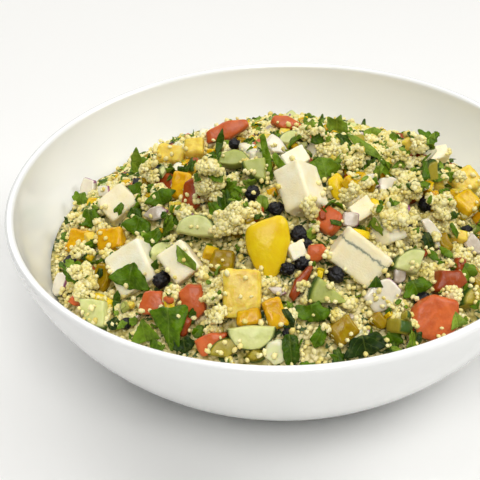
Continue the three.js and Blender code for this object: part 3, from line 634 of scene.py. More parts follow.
class Shader:
    """A material's node graph, written as calls."""

    def __init__(self, name):
        self.material = bpy.data.materials.new(name)
        self.material.use_nodes = True
        self.tree = self.material.node_tree
        self.surface = self.tree.nodes["Principled BSDF"]

    def node(self, kind, inputs=(), output=0, **settings):
        """Adds a node with its inputs and settings, and returns one of its outputs."""
        made = self.tree.nodes.new("ShaderNode" + kind)
        for key, value in settings.items():
            setattr(made, key, value)
        for key, value in dict(inputs).items():
            self.feed(made.inputs[key], value)
        return made.outputs[output]

    def feed(self, socket, value):
        if isinstance(value, bpy.types.NodeSocket):
            self.tree.links.new(value, socket)
        else:
            socket.default_value = value

    def attribute(self, name, output="Fac"):
        return self.node("Attribute", output=output, attribute_name=name)

    def local(self):
        return self.attribute("local", "Vector")

    def noise(self, scale, detail=2.0, vector=None, output="Fac", rough=0.5, distort=0.0):
        inputs = {"Vector": vector or self.local(), "Scale": scale, "Detail": detail}
        inputs |= {"Roughness": rough, "Distortion": distort}
        return self.node("TexNoise", inputs, output)

    def math(self, operation, a, b=0.0, clamp=False):
        return self.node("Math", {0: a, 1: b}, operation=operation, use_clamp=clamp)

    def spread(self, value, low, high, to_low=0.0, to_high=1.0):
        """A value stretched from one range to another, and held at its ends."""
        return self.node("MapRange", {0: value, 1: low, 2: high, 3: to_low, 4: to_high})

    def mix(self, factor, a, b, blend="MIX"):
        inputs = {0: factor, 6: a, 7: b}
        return self.node("Mix", inputs, 2, data_type="RGBA", blend_type=blend)

    def blotches(self, colour, other, share, low, high, *noise, **more):
        """Lays another colour over the first in soft blotches, where the noise is from low to high."""
        return self.mix(self.spread(self.noise(*noise, **more), low, high, 0.0, share), colour, other)

    def tones(self, colours):
        """The colour that the tint attribute picks, with equal shares of 0 to 1 for each."""
        made = self.tree.nodes.new("ShaderNodeValToRGB")
        ramp = made.color_ramp
        ramp.interpolation = "CONSTANT"
        while len(ramp.elements) < len(colours):
            ramp.elements.new(0.5)
        for i, colour in enumerate(colours):
            ramp.elements[i].position = i / len(colours)
            ramp.elements[i].color = srgb(colour)
        self.feed(made.inputs[0], self.attribute("tint"))
        return made.outputs[0]

    def bump(self, height, strength, distance):
        normal = self.node("Bump", {"Height": height, "Strength": strength, "Distance": distance})
        self.feed(self.surface.inputs["Normal"], normal)

    def set(self, **values):
        """Feeds the surface's own inputs, with _ for each space in their names."""
        for key, value in values.items():
            self.feed(self.surface.inputs[key.replace("_", " ")], value)
        return self

    def translucent(self, weight, radius, scale):
        """Light that sinks in and comes out nearby. The radius is in millimetres."""
        self.surface.subsurface_method = "RANDOM_WALK"
        return self.set(Subsurface_Weight=weight, Subsurface_Radius=radius, Subsurface_Scale=scale * MM)


def porcelain():
    s = Shader("porcelain")
    place = s.node("TexCoord", output="Object")
    s.set(Base_Color=s.blotches(srgb("f6f8f8"), srgb("f9fafa"), 1.0, 0.35, 0.65, 18.0, 2.0, place))
    s.set(Roughness=s.spread(s.noise(40.0, 2.0, place), 0.3, 0.7, 0.16, 0.24))
    s.set(Coat_Weight=0.5, Coat_Roughness=0.05)
    s.bump(s.noise(35.0, 1.0, place), 0.1, 0.0004)
    return s.material


def couscous_material():
    s = Shader("couscous")
    light, dark, gold = srgb("f8eeba"), srgb("eadc8e"), srgb("deca68")
    tint = s.attribute("tint")
    colour = s.mix(s.spread(tint, 0.0, 0.8), light, dark)
    colour = s.mix(s.spread(tint, 0.8, 1.0), colour, gold)
    colour = s.blotches(colour, dark, 0.25, 0.35, 0.75, 1.1)
    s.set(Base_Color=colour, Roughness=0.42, Specular_IOR_Level=0.3)
    s.translucent(0.35, [1.0, 0.85, 0.45], 0.8)
    s.bump(s.noise(2.2, 2.0), 0.25, 0.0003)
    return s.material


def bed_material():
    """What shows between the loose grains: packed couscous in shade, with juice and green flecks."""
    s = Shader("couscous_bed")
    place = s.node("VectorMath", {0: s.local(), 1: s.noise(0.5, 2.0, output="Color")}, operation="ADD")
    grain = s.node("TexVoronoi", {"Vector": place, "Scale": 0.62}, "Distance")
    colour = s.blotches(srgb("cabc6c"), srgb("eee2ac"), 1.0, 0.4, 0.6, 0.25, 3.0)
    # Darker towards the edges of each grain-sized cell: painted shade in the gaps between the packed grains.
    colour = s.mix(s.spread(grain, 0.35, 0.8), colour, srgb("9a8c3c"))
    colour = s.blotches(colour, srgb("34500a"), 1.0, 0.54, 0.58, 0.33, rough=0.7, distort=0.6)
    s.set(Base_Color=colour, Roughness=0.5)
    s.bump(s.math("SUBTRACT", 1.0, grain), 0.7, 0.0009)
    return s.material


def cheese_material(vein_at=None):
    s = Shader("cheese" if vein_at is None else "veined_cheese")
    colour = s.blotches(srgb("fef6dc"), srgb("f8ecc4"), 1.0, 0.35, 0.7, 0.22, 3.0)
    colour = s.mix(s.spread(s.attribute("tint"), 0.0, 1.0, 0.0, 0.3), colour, srgb("efdb98"))
    colour = s.blotches(colour, srgb("d9c483"), 0.3, 0.62, 0.74, 1.3, 3.0, rough=0.7)
    if vein_at is not None:
        across = s.node("SeparateXYZ", {0: s.local()}, vein_at[0])
        wander = s.spread(s.noise(0.28, 3.0, rough=0.65), 0.0, 1.0, -1.7, 1.7)
        gap = s.math("ABSOLUTE", s.math("SUBTRACT", s.math("ADD", across, wander), vein_at[1]))
        width = s.spread(s.noise(0.6, 2.0), 0.3, 0.7, 0.35, 1.1)
        vein = s.math("SUBTRACT", 1.0, s.math("DIVIDE", gap, width), True)
        colour = s.mix(vein, colour, srgb("4c5b58"))
        bloom = s.math("SUBTRACT", 1.0, s.math("DIVIDE", gap, 1.6), True)
        colour = s.mix(s.math("MULTIPLY", bloom, 0.3), colour, srgb("b9bf9a"))
    s.set(Base_Color=colour, Roughness=0.55, Specular_IOR_Level=0.35)
    s.translucent(0.4, [2.2, 1.7, 0.9], 1.0)
    s.bump(s.noise(1.4, 4.0, rough=0.65), 0.35, 0.0006)
    return s.material


def flesh(name, deep, streak_scale, roughness, sink, radius, skin=None):
    """Wet vegetable flesh with deeper streaks. Its rind attribute marks where the skin is."""
    s = Shader(name)
    colour = s.tones(SHADES[name])
    darker = s.mix(1.0, colour, srgb(deep), "MULTIPLY")
    colour = s.blotches(colour, darker, 0.5, 0.35, 0.75, streak_scale, 3.0, distort=0.4)
    colour = s.blotches(colour, s.mix(0.4, colour, srgb("fffbe8")), 0.12, 0.6, 0.78, 1.6)
    if skin is not None:
        colour = s.mix(s.attribute("rind"), colour, srgb(skin))
    s.set(Base_Color=colour, Roughness=roughness, Specular_IOR_Level=0.3)
    s.translucent(sink, radius, 1.0)
    s.bump(s.noise(0.9, 3.0), 0.3, 0.0005)
    return s.material


def currant_material():
    s = Shader("currant")
    colour = s.blotches(srgb("08070b"), srgb("17151f"), 1.0, 0.4, 0.7, 1.2, 3.0)
    s.set(Base_Color=colour, Roughness=0.4, Specular_IOR_Level=0.4)
    s.bump(s.noise(1.7, 3.0), 0.5, 0.0006)
    return s.material


def onion_material():
    s = Shader("onion")
    colour = s.blotches(s.tones(SHADES["onion"]), srgb("dcd3c4"), 0.5, 0.4, 0.62, 0.5)
    colour = s.mix(s.attribute("rind"), colour, srgb("9a5f86"))
    s.set(Base_Color=colour, Roughness=0.25, Coat_Weight=0.4, Coat_Roughness=0.1)
    s.translucent(0.4, [2.0, 1.5, 1.4], 1.0)
    s.bump(s.noise(0.7, 2.0), 0.2, 0.0004)
    return s.material


def leaf_material():
    """Chopped leaf: a midrib and side veins follow the piece's own length. Soft blotches of painted shade
    and painted highlight lie over it, in place of the shading of its folds.
    """
    s = Shader("leaf")
    rib_and_highlight = srgb("b4c65c")
    x = s.node("SeparateXYZ", {0: s.local()}, "X")
    y = s.node("SeparateXYZ", {0: s.local()}, "Y")
    slant = s.math("ADD", s.math("MULTIPLY", s.math("ABSOLUTE", x), 0.9), y)
    slant = s.math("ADD", slant, s.spread(s.noise(0.4, 2.0), 0.0, 1.0, -0.7, 0.7))
    side = s.math("FRACT", s.math("MULTIPLY", slant, 0.36))
    side = s.math("ABSOLUTE", s.math("SUBTRACT", side, 0.5))
    side_vein = s.spread(side, 0.0, 0.07, 1.0, 0.0)
    midrib = s.spread(s.math("ABSOLUTE", x), 0.0, 0.35, 1.0, 0.0)
    vein = s.math("MAXIMUM", midrib, s.math("MULTIPLY", side_vein, 0.6), True)
    colour = s.tones(SHADES["leaves"])
    # Darker blotches: painted shade that stands in for the shading of the leaf's folds.
    shade = s.mix(1.0, colour, srgb("8c9c70"), "MULTIPLY")
    colour = s.blotches(colour, shade, 0.8, 0.4, 0.7, 0.35, 3.0)
    # Lighter blotches of the rib colour: painted highlights on the folds. The same colour also draws the
    # real midrib and side veins below.
    colour = s.blotches(colour, rib_and_highlight, 0.14, 0.55, 0.75, 0.5)
    colour = s.mix(s.math("MULTIPLY", vein, 0.14), colour, rib_and_highlight)
    s.set(Base_Color=colour, Roughness=0.36, Specular_IOR_Level=0.16)
    s.translucent(0.2, [0.6, 1.0, 0.2], 0.8)
    s.bump(s.math("ADD", s.math("MULTIPLY", vein, -0.3), s.noise(0.9, 3.0)), 0.7, 0.0005)
    return s.material


# ---- Bowl ----


def bowl_profile(steps=48, lip_steps=12):
    """The bowl's section from under the foot, up the outer wall, over the lip and down the inside."""
    angles = np.linspace(0, TOP_ANGLE, steps)
    outer = [inset_wall(a, 0) for a in angles]
    inner = [inset_wall(a, WALL) for a in angles]
    centre = (outer[-1] + inner[-1]) / 2
    arm = outer[-1] - centre
    lip = []
    for i in range(1, lip_steps):
        t = math.pi * i / lip_steps
        c, s = math.cos(t), math.sin(t)
        lip.append(centre + [arm[0] * c - arm[1] * s, arm[0] * s + arm[1] * c])
    foot_out = BASE_RADIUS - FOOT_INSET
    foot_in = foot_out - FOOT_WIDTH
    worn = 0.5
    foot = [
        (0.01, FOOT_HEIGHT * 0.8),
        (foot_in - 1.4, FOOT_HEIGHT * 0.8),
        (foot_in - 0.4, FOOT_HEIGHT * 0.55),
        (foot_in, worn),
        (foot_in + worn, 0),
        (foot_out - worn, 0),
        (foot_out, worn),
        (foot_out + 0.5, FOOT_HEIGHT * 0.6),
    ]
    return [np.array(p) for p in foot] + outer + lip + inner[::-1] + [np.array([0.01, inner[0][1]])]


def turned(radius, turn, height):
    """A ring of points round the bowl's axis."""
    return np.column_stack([radius * np.cos(turn), radius * np.sin(turn), np.full(len(turn), height)])


def make_bowl(segments=192):
    profile = bowl_profile()
    turn = np.linspace(0, 2 * math.pi, segments, endpoint=False)
    points = np.concatenate([turned(radius, turn, height) for radius, height in profile])
    batch = Batch()
    batch.add((points, grid_faces(len(profile), segments, True), points), points, 0.5)
    bowl = batch.make("bowl_glazed", porcelain())
    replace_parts(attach(bowl, "root"), "bowl")


# ---- Salad ----

# How far the bed lies below the solid mound, to leave room for the loose grains.
BED_DROP = 2.3


def mound_surface(rings=60, segments=180):
    """The bed under the loose grains, filling the bowl up to it, with grain-sized relief on top."""
    turn = np.linspace(0, 2 * math.pi, segments, endpoint=False)
    wall = [inset_wall(a, WALL + MOUND_GAP) for a in np.linspace(0, EDGE_ANGLE, 12)]
    layers = [turned(radius, turn, height) for radius, height in wall]
    layers.insert(0, layers[0] * [0.0002, 0.0002, 1])
    for r in np.linspace(1, 0.0005, rings)[1:]:
        flat = turned(MOUND_RADIUS * r, turn, 0)
        relief = 0.5 * value_noise(flat / 1.3, 4) + 0.7 * value_noise(flat / 4.6, 5) - BED_DROP
        x, y, _ = flat.T
        layers.append(np.column_stack([x, y, mound_height(x, y) + relief * min(1, (1 - r) * 30)]))
    points = np.concatenate(layers)
    return points, grid_faces(len(layers), segments, True), points


# The kinds of pieces, each with the chance that a grain which lands on one stays there.
STAY = dict(cheese=0.02, veined=0.02, yellow=0.14, cucumber=0.1, currants=0.02)
STAY |= dict(pepper=0.0, tomato=0.03, onion=0.08, leaves=0.05, herbs=0.05)
STAY_ON_BIT = 0.1
KINDS = list(STAY)

# Each kind's colours, and which of its rows has each. A row that isn't listed has the first one.
SHADES = {
    "yellow": {
        "e0b010": (),
        "ecd45a": (0, 1, 3, 14, 15),
        "e2be16": (4, 12, 13),
        "a08606": (5, 8, 9, 16, 18, 19, 20),
    },
    "cucumber": {"b2b864": (), "d6d896": (0, 3, 5, 6, 7), "a89830": (8, 9, 10)},
    "pepper": {"ecd01c": ()},
    "tomato": {"d06a34": (), "a04818": (2, 7, 9, 11, 12, 13)},
    "onion": {"eae2ca": (), "bcae9a": (1, 5, 7, 8, 10), "dde0a8": (12, 13)},
    "leaves": {
        "567804": (),
        "849e30": (0, 1, 8, 16, 22, 31, 36, 39, 44, 50),
        "6c8a18": (3, 6, 7, 9, 12, 15, 24, 37, 38, 41, 42, 43, 47),
        "3a5802": (2, 4, 17, 23, 29, 35, 45, 48, 51, 53),
        "1e3600": (18, 25, 28, 46, 49, 52, 54),
    },
}

# The rows of each kind of slab, how far its top bulges and how uneven its skin is.
SLABS = {
    "pepper": (PEPPER_SLABS, 1.1, 0.05),
    "tomato": (TOMATO_SLABS, 0.5, 0.4),
    "onion": (ONION_SLABS, 0, 0.15),
}


def tint_of(kind, row):
    """Where on its kind's scale of colours a row stands, from 0 to 1."""
    groups = list(SHADES[kind].values())
    number = next((i for i, rows in enumerate(groups) if row in rows), 0)
    return (number + 0.5) / len(groups)


def gather_pieces():
    """One batch for each kind of piece, each piece in the place that its row gives."""
    kinds = {name: Batch() for name in KINDS}

    def put(kind, shape, row, turns, tint):
        kinds[kind].add(shape, placed(shape[0], *row[:3], *turns), tint)

    for i, row in enumerate(CHEESE_BLOCKS):
        shape = block(*row[3:6], i + 1, min(row[3:6]) * 0.1, 0.25)
        put("veined" if i == VEINED else "cheese", shape, row, row[6:], i % 3 / 2)
    for i, row in enumerate(YELLOW_BLOCKS):
        shape = block(*row[3:6], i + 1 + len(CHEESE_BLOCKS), 1.5, 0.5, 3.2)
        put("yellow", shape, row, row[6:], tint_of("yellow", i))
    for i, row in enumerate(CUCUMBER_SECTORS):
        put("cucumber", sector(*row[3:6], i), row, row[6:], tint_of("cucumber", i))
    for i, row in enumerate(CURRANTS):
        put("currants", currant(row[3], i + 7), row, (*row[4:], 0), 0.5)
    for kind, (rows, bulge, rough) in SLABS.items():
        for i, row in enumerate(rows):
            outline, width, length, thickness, curl = row[3:8]
            ring = outline_points(OUTLINES[outline], width, length, 48, 3 if kind == "pepper" else 1)
            turn = np.arctan2(ring[:, 1], ring[:, 0])
            ring *= 1 + 0.03 * np.sin(turn * 3 + i)[:, None] + 0.015 * np.sin(turn * 8 + i * 2)[:, None]
            skin = (ring[:, 0] > width * 0.3).astype(float) if kind == "onion" else None
            bend = bend_of(width, length, curl)
            shape = slab(ring, thickness, bend, 0.5, bulge, rough, 3.0, i, skin, (0.25, 0.5, 0.75))
            put(kind, shape, row, row[8:], tint_of(kind, i))
    for i, row in enumerate(LEAVES):
        put("leaves", leaf(*row[3:8], i), row, row[8:], tint_of("leaves", i))
    return kinds


# The height map's cell and half width, and the owners that stand for laid grains and laid bits.
CELL = 0.5
HALF = 92.0
GRAIN = 99
FILLER = 50
# Rays that read a height go down from this far up.
ABOVE = 200
CELLS = int(2 * HALF / CELL) + 1


def cell_at(x, y):
    """The cell that a place lies in."""
    return int(round((x + HALF) / CELL)), int(round((y + HALF) / CELL))


def middle(i, j):
    """The place of a cell's middle."""
    return i * CELL - HALF, j * CELL - HALF


def first_below(tree, i, j):
    """The height and the face that a ray down over a cell meets first, or None for both."""
    hit, _, face, _ = tree.ray_cast(Vector((*middle(i, j), ABOVE)), Vector((0, 0, -1)))
    return (None, None) if hit is None else (hit.z, face)


def top_map(batches):
    """The height of the highest surface over each cell of a grid, and which batch it belongs to."""
    points = np.concatenate([p for batch in batches for p in batch.points])
    faces, owner = [], []
    count = 0
    for number, batch in enumerate(batches):
        if batch.points:
            faces.append(np.concatenate(batch.faces) + count)
            owner.append(np.full(len(faces[-1]), number))
            count += batch.count
    tree = BVHTree.FromPolygons(points.tolist(), np.concatenate(faces).tolist())
    owner = np.concatenate(owner)
    heights = np.zeros((CELLS, CELLS))
    owners = np.full(heights.shape, -1)
    for i, j in np.ndindex(heights.shape):
        if math.hypot(*middle(i, j)) > MOUND_RADIUS - 0.5:
            continue
        height, face = first_below(tree, i, j)
        if height is not None:
            heights[i, j] = height
            owners[i, j] = owner[face]
    return heights, owners


def add_grains(batch, centres, radius, seed):
    """Adds a small uneven bead at each centre."""
    unit, faces = sphere_mesh(1)
    rng = np.random.default_rng(seed)
    centres = np.array(centres)
    count = len(centres)
    turns = np.linalg.qr(rng.normal(size=(count, 3, 3)))[0]
    turns[np.linalg.det(turns) < 0, :, 0] *= -1
    size = radius * np.clip(rng.normal(1, 0.2, count), 0.6, 1.35)
    stretch = rng.uniform([1.0, 0.85, 0.75], [1.35, 1.1, 1.0], (count, 3))
    shaped = unit[None] * stretch[:, None, :] * size[:, None, None]
    where = (unit[None] * 1.4 + rng.uniform(0, 500, (count, 1, 3))).reshape(-1, 3)
    dent = 1 + 0.2 * value_noise(where, 2).reshape(count, -1, 1)
    points = (np.einsum("nij,nkj->nki", turns, shaped * dent) + centres[:, None, :]).reshape(-1, 3)
    tint = np.repeat(rng.random(count), len(unit))
    all_faces = faces[None] + (np.arange(count) * len(unit))[:, None, None]
    local = (shaped + rng.uniform(0, 90, (count, 1, 3))).reshape(-1, 3)
    batch.add((points, all_faces.reshape(-1, 3), local), points, tint)


GRAIN_RADIUS = 0.92
GRAIN_SPACING = GRAIN_RADIUS * 1.3

# x, y, reach of the spoonfuls where the grains lie thick.
SPOONFULS = [
    (-16, -36, 6), (-12, -30, 4), (-8, -53, 5), (-13, -58, 6), (-19, -52, 5), (-12, -69, 5), (-72, -35, 8),
    (-67, -43, 6), (-68, -8, 5), (-36, -50, 6), (-26, -52, 5), (-24, -17, 5), (-13, -10, 5), (6, -33, 6),
    (8, -40, 4), (6, -55, 5), (14, -53, 6), (19, -58, 6), (17, -65, 4), (2, -63, 4), (14, 4, 7),
    (24, -3, 7), (28, -17, 6), (36, -31, 8), (40, -22, 5), (44, -16, 7), (46, 0, 8), (36, 12, 8),
    (44, -40, 5), (56, -20, 5), (38, -55, 5), (48, -62, 5), (54, -51, 6), (36, -64, 4), (-3, -16, 4),
]


def richness(x, y):
    """How thickly the grains lie at a place, from 0 to 1."""
    flat = np.column_stack([x, y, np.zeros_like(x)])
    total = 0.16 + 0.32 * value_noise(flat / 8.0 + 5, 8) + 0.2 * value_noise(flat / 3.5, 9)
    for cx, cy, reach in SPOONFULS:
        total = total + np.exp(-((x - cx) ** 2 + (y - cy) ** 2) / (0.5 * reach**2)) * 0.9
    total = np.where(y > 20, total + 0.25, total)
    return np.clip(total, 0.05, 1.0)


def slide(rest, i, j, slides):
    """Moves cells to their lowest neighbour a few times, inside the bowl."""
    for _ in range(slides):
        best_i, best_j = i.copy(), j.copy()
        for di, dj in product((-1, 0, 1), repeat=2):
            to_i, to_j = np.clip(i + di, 0, CELLS - 1), np.clip(j + dj, 0, CELLS - 1)
            inside = np.hypot(*middle(to_i, to_j)) < MOUND_RADIUS - 1.0
            lower = (rest[to_i, to_j] < rest[best_i, best_j] - 0.02) & inside
            best_i, best_j = np.where(lower, to_i, best_i), np.where(lower, to_j, best_j)
        i, j = best_i, best_j
    return i, j


class Ground:
    """The heap's top as a height map that grows while things are laid on it."""

    def __init__(self, kinds, bed):
        self.heights, self.owners = top_map([kinds[name] for name in KINDS] + [bed])
        self.main = (self.owners >= 0) & (self.owners < len(KINDS))

    def resting_heights(self, radius):
        """How high the centre of a ball of that radius rests over each cell."""
        reach = int(radius / CELL)
        rest = np.full_like(self.heights, -1e3)
        for i, j in product(range(-reach, reach + 1), repeat=2):
            gap = radius**2 - (i * i + j * j) * CELL**2
            if gap >= 0:
                rest = np.maximum(rest, np.roll(self.heights, (i, j), (0, 1)) + math.sqrt(gap))
        return rest

    def odds(self, i, j, share, clumped):
        """The chance that a grain which comes to a cell stays there. share is that of the bare bed."""
        owner = self.owners[i, j]
        stay = np.array(list(STAY.values()))
        base = np.where(owner < len(stay), stay[np.clip(owner, 0, len(stay) - 1)], share)
        base = np.where(owner == FILLER, STAY_ON_BIT, base)
        thick = richness(*middle(i, j)) if clumped else 1.0
        return np.where(owner < 0, 0.0, base * thick)

    def lay_grains(self, count, share, clumped, slides, seed):
        """Drops grains, each of which slides to a low spot and stays by the chance that its ground gives.
        Returns the centres of those that stay."""
        rng = np.random.default_rng(seed)
        rest = self.resting_heights(GRAIN_RADIUS)
        place = rng.uniform(-1, 1, (count * 2, 2)) * (MOUND_RADIUS - 1.2)
        place = place[np.hypot(*place.T) < MOUND_RADIUS - 1.2][:count]
        i, j = slide(rest, *np.round((place.T + HALF) / CELL).astype(int), slides)
        luck = rng.random(len(i))
        odds = self.odds(i, j, share, clumped)
        kept, taken = [], {}
        for k in rng.permutation(len(i)):
            if luck[k] > odds[k]:
                continue
            x, y = (at + rng.uniform(-0.25, 0.25) for at in middle(i[k], j[k]))
            block_x, block_y = int(x // GRAIN_SPACING), int(y // GRAIN_SPACING)
            around = [(block_x + a, block_y + b) for a, b in product((-1, 0, 1), repeat=2)]
            near = [spot for block_at in around for spot in taken.get(block_at, ())]
            if any((x - a) ** 2 + (y - b) ** 2 < GRAIN_SPACING**2 for a, b in near):
                continue
            taken.setdefault((block_x, block_y), []).append((x, y))
            kept.append((x, y, rest[i[k], j[k]] - 0.12 * GRAIN_RADIUS))
        for x, y, z in kept:
            self.raise_dome(*middle(*cell_at(x, y)), z, GRAIN_RADIUS, GRAIN_RADIUS)
        return kept

    def raise_to(self, i, j, height, owner):
        """Lifts a cell to a height and gives it to an owner, unless it is higher already."""
        if height > self.heights[i, j]:
            self.heights[i, j] = height
            self.owners[i, j] = owner

    def raise_dome(self, x, y, height, reach, tall):
        """Lifts the ground by a dome of grains round a spot."""
        i, j = cell_at(x, y)
        k = int(reach / CELL)
        for a, b in product(range(i - k, i + k + 1), range(j - k, j + k + 1)):
            cell_x, cell_y = middle(a, b)
            room = 1 - ((cell_x - x) ** 2 + (cell_y - y) ** 2) / reach**2
            if room > 0 and 0 <= a < CELLS and 0 <= b < CELLS:
                self.raise_to(a, b, height + tall * math.sqrt(room), GRAIN)

    def seat(self, x, y, reach):
        """Height and slope of the ground under a piece of that reach."""
        i, j = cell_at(x, y)
        k = max(1, int(reach / CELL))
        n = CELLS - 1
        patch = self.heights[max(i - k, 0) : min(i + k + 1, n), max(j - k, 0) : min(j + k + 1, n)]
        left, right = self.heights[max(i - k, 0), j], self.heights[min(i + k, n), j]
        front, back = self.heights[i, max(j - k, 0)], self.heights[i, min(j + k, n)]
        slope = np.array([right - left, back - front]) / (2 * k * CELL)
        return float(np.percentile(patch, 70)), np.clip(slope, -0.8, 0.8)

    def hides_main(self, x, y, reach, ahead):
        """Whether a bit here would cover one of the large pieces, or stand that far in front of one."""
        i, j = cell_at(x, y)
        k = int(reach / CELL)
        ahead = max(k, int(ahead / CELL))
        return self.main[max(i - k, 0) : i + k + 1, max(j - k, 0) : j + ahead + 1].any()

    def cover(self, points, faces):
        """Marks what a laid piece now covers."""
        tree = BVHTree.FromPolygons(points.tolist(), faces.tolist())
        low, high = points.min(0), points.max(0)
        (i0, j0), (i1, j1) = cell_at(*low[:2]), cell_at(*high[:2])
        for i, j in product(range(max(i0, 0), min(i1 + 1, CELLS)), range(max(j0, 0), min(j1 + 1, CELLS))):
            height, _ = first_below(tree, i, j)
            if height is not None:
                self.raise_to(i, j, height, FILLER)


# Behind this y the heap's top shows against the bowl, so what is laid there stays low over the mound.
BACK_FROM = 8
BACK_HEADROOM = 1.2
# The highest that anything laid elsewhere reaches.
HIGHEST = 85.4


def ceiling(x, y):
    """How high a thing laid at a place may reach."""
    return float(mound_height(x, y)) + BACK_HEADROOM if y > BACK_FROM else HIGHEST


def spiral_spots(count, edge):
    """Evenly spread spots over the mound, in from its edge."""
    for i in range(count):
        radius = (MOUND_RADIUS - edge) * math.sqrt((i + 0.5) / count)
        yield radius * math.cos(i * GOLDEN_TURN), radius * math.sin(i * GOLDEN_TURN)


def frame_of(slope, tilt, turn):
    """A rotation that lays a piece on a slope, tipped a little further and turned."""
    up = np.array([-slope[0], -slope[1], 1.0]) + tilt
    up /= np.linalg.norm(up)
    side = np.cross([0.3, 1, 0.1], up)
    side /= np.linalg.norm(side)
    base = np.column_stack([side, np.cross(up, side), up])
    c, s = math.cos(turn), math.sin(turn)
    return base @ np.array([[c, -s, 0], [s, c, 0], [0, 0, 1]])


LEAFY = ("leaves", "herbs")
# The share of the leaf colours that small bits have, which leaves out the darkest.
LEAF_TINTS = 0.8
# Shares of a bit's size: what must be clear of the large pieces, and the ground that it rests on.
BIT_REACH = 0.22
BIT_SEAT = 0.3
# A bit rises by this share of what lies under the ground, and then sinks by this much.
BIT_RISE = 0.35
BIT_SINK = 0.3


def lay_bits(ground, kinds, kind, count, sizes, tip, seed, ahead=3.5):
    """Lays small pieces of one kind over the heap, clear of the large pieces that show and of the room
    ahead of them. tip is how far they lean off the slope."""
    rng = np.random.default_rng(seed)
    laid = 0
    for x, y in spiral_spots(count, 4):
        x, y = x + rng.normal(0, 3), y + rng.normal(0, 3)
        size = rng.uniform(*sizes)
        shape = bit_shape(kind, size, rng, laid)
        tilt, turn = rng.normal(0, tip, 3), rng.uniform(0, 2 * math.pi)
        tint = rng.random() * (LEAF_TINTS if kind in LEAFY else 1)
        if math.hypot(x, y) > MOUND_RADIUS - 4 or ground.hides_main(x, y, size * BIT_REACH, ahead):
            continue
        height, slope = ground.seat(x, y, size * BIT_SEAT)
        points = shape[0] @ frame_of(slope, tilt, turn).T + [x, y, height]
        points[:, 2] += BIT_RISE * (height - points[:, 2].min()) - BIT_SINK
        points[:, 2] -= max(points[:, 2].max() - ceiling(x, y), 0)
        kinds[kind].add(shape, points, tint)
        ground.cover(points, shape[1])
        laid += 1


def bit_shape(kind, size, rng, number):
    """A small piece of a kind, in a shape of its own."""
    if kind in LEAFY:
        outline = ("cut", "torn", "blade", "triangle", "kite")[rng.integers(5)]
        width, curl, ripple = size * rng.uniform([0.4, 0.0, 0.02], [1.0, 0.16, 0.09])
        return leaf(outline, width, size, curl, ripple, number, 18 if kind == "herbs" else 36, (0.6,), 0.16)
    if kind == "currants":
        return currant(size, number + 40, 3)
    if kind in ("cheese", "yellow"):
        sides = size * rng.uniform(0.6, 1.0, 3)
        return block(*sides, number + 50, min(sides) * 0.14, 0.3, 2.5, 5)
    if kind == "cucumber":
        return sector(size, size * rng.uniform(0.4, 0.8), rng.uniform(60, 150), number + 20, 30)
    outline = ("strip", "wedge", "pane", "blade")[rng.integers(4)]
    ring = outline_points(OUTLINES[outline], size * rng.uniform(0.5, 1.0), size, 26)
    skin = (ring[:, 0] > size * 0.2).astype(float) if kind == "onion" else None
    thickness = size * (0.25 if kind == "onion" else 0.45)
    return slab(ring, thickness, bend_of(size, size, size * 0.12), 0.4, 0, 0.15, 2.5, number, skin, (0.6,))


# How many grains a crumb has for each square millimetre of its reach, and how far it sinks.
CRUMB_GRAINS = 5.2
CRUMB_SINK = 0.4 * GRAIN_RADIUS


def lay_crumbs(ground, batch, count, reaches, seed):
    """Heaps crumbs of couscous on the ground, each a lumpy dome of grains sunk into one another."""
    rng = np.random.default_rng(seed)
    centres = []
    for x, y in spiral_spots(count, 5):
        x, y = x + rng.normal(0, 2.5), y + rng.normal(0, 2.5)
        reach, tall, luck = rng.uniform(*reaches), rng.uniform(0.55, 0.95), rng.random()
        too_bare = luck > richness(np.array([x]), np.array([y]))[0]
        if too_bare or math.hypot(x, y) > MOUND_RADIUS - 5 or ground.hides_main(x, y, reach * 0.3, 0):
            continue
        height, slope = ground.seat(x, y, reach * 0.5)
        k = np.arange(int(CRUMB_GRAINS * reach**2)) + 0.5
        up = 1 - k / len(k) * 1.1
        turn = k * GOLDEN_TURN + rng.uniform(0, 6)
        flat = np.sqrt(np.maximum(1 - up * up, 0))
        dome = np.column_stack([flat * np.cos(turn), flat * np.sin(turn), up * tall]) * reach
        lumpy = 1 + 0.22 * np.sin(turn * 2 + luck * 40) * flat + 0.16 * np.sin(turn * 3 + luck * 90) * flat
        dome *= (lumpy * rng.normal(1, 0.08, len(k)))[:, None]
        base = height - CRUMB_SINK
        if y > BACK_FROM:
            base = min(base, ceiling(x, y) - reach * tall - GRAIN_RADIUS)
        centres.append(dome @ frame_of(slope, (0, 0, 0), 0).T + [x, y, base])
        ground.raise_dome(x, y, base, reach + GRAIN_RADIUS, tall * reach + GRAIN_RADIUS)
    add_grains(batch, np.concatenate(centres), GRAIN_RADIUS, seed + 1)


# How many grains cling at most to the large pieces of each kind, and how high up they fade out.
CLING = dict(cheese=260, veined=90, yellow=420, cucumber=320, pepper=14, tomato=150, onion=90)
CLING_BAND = 1.6


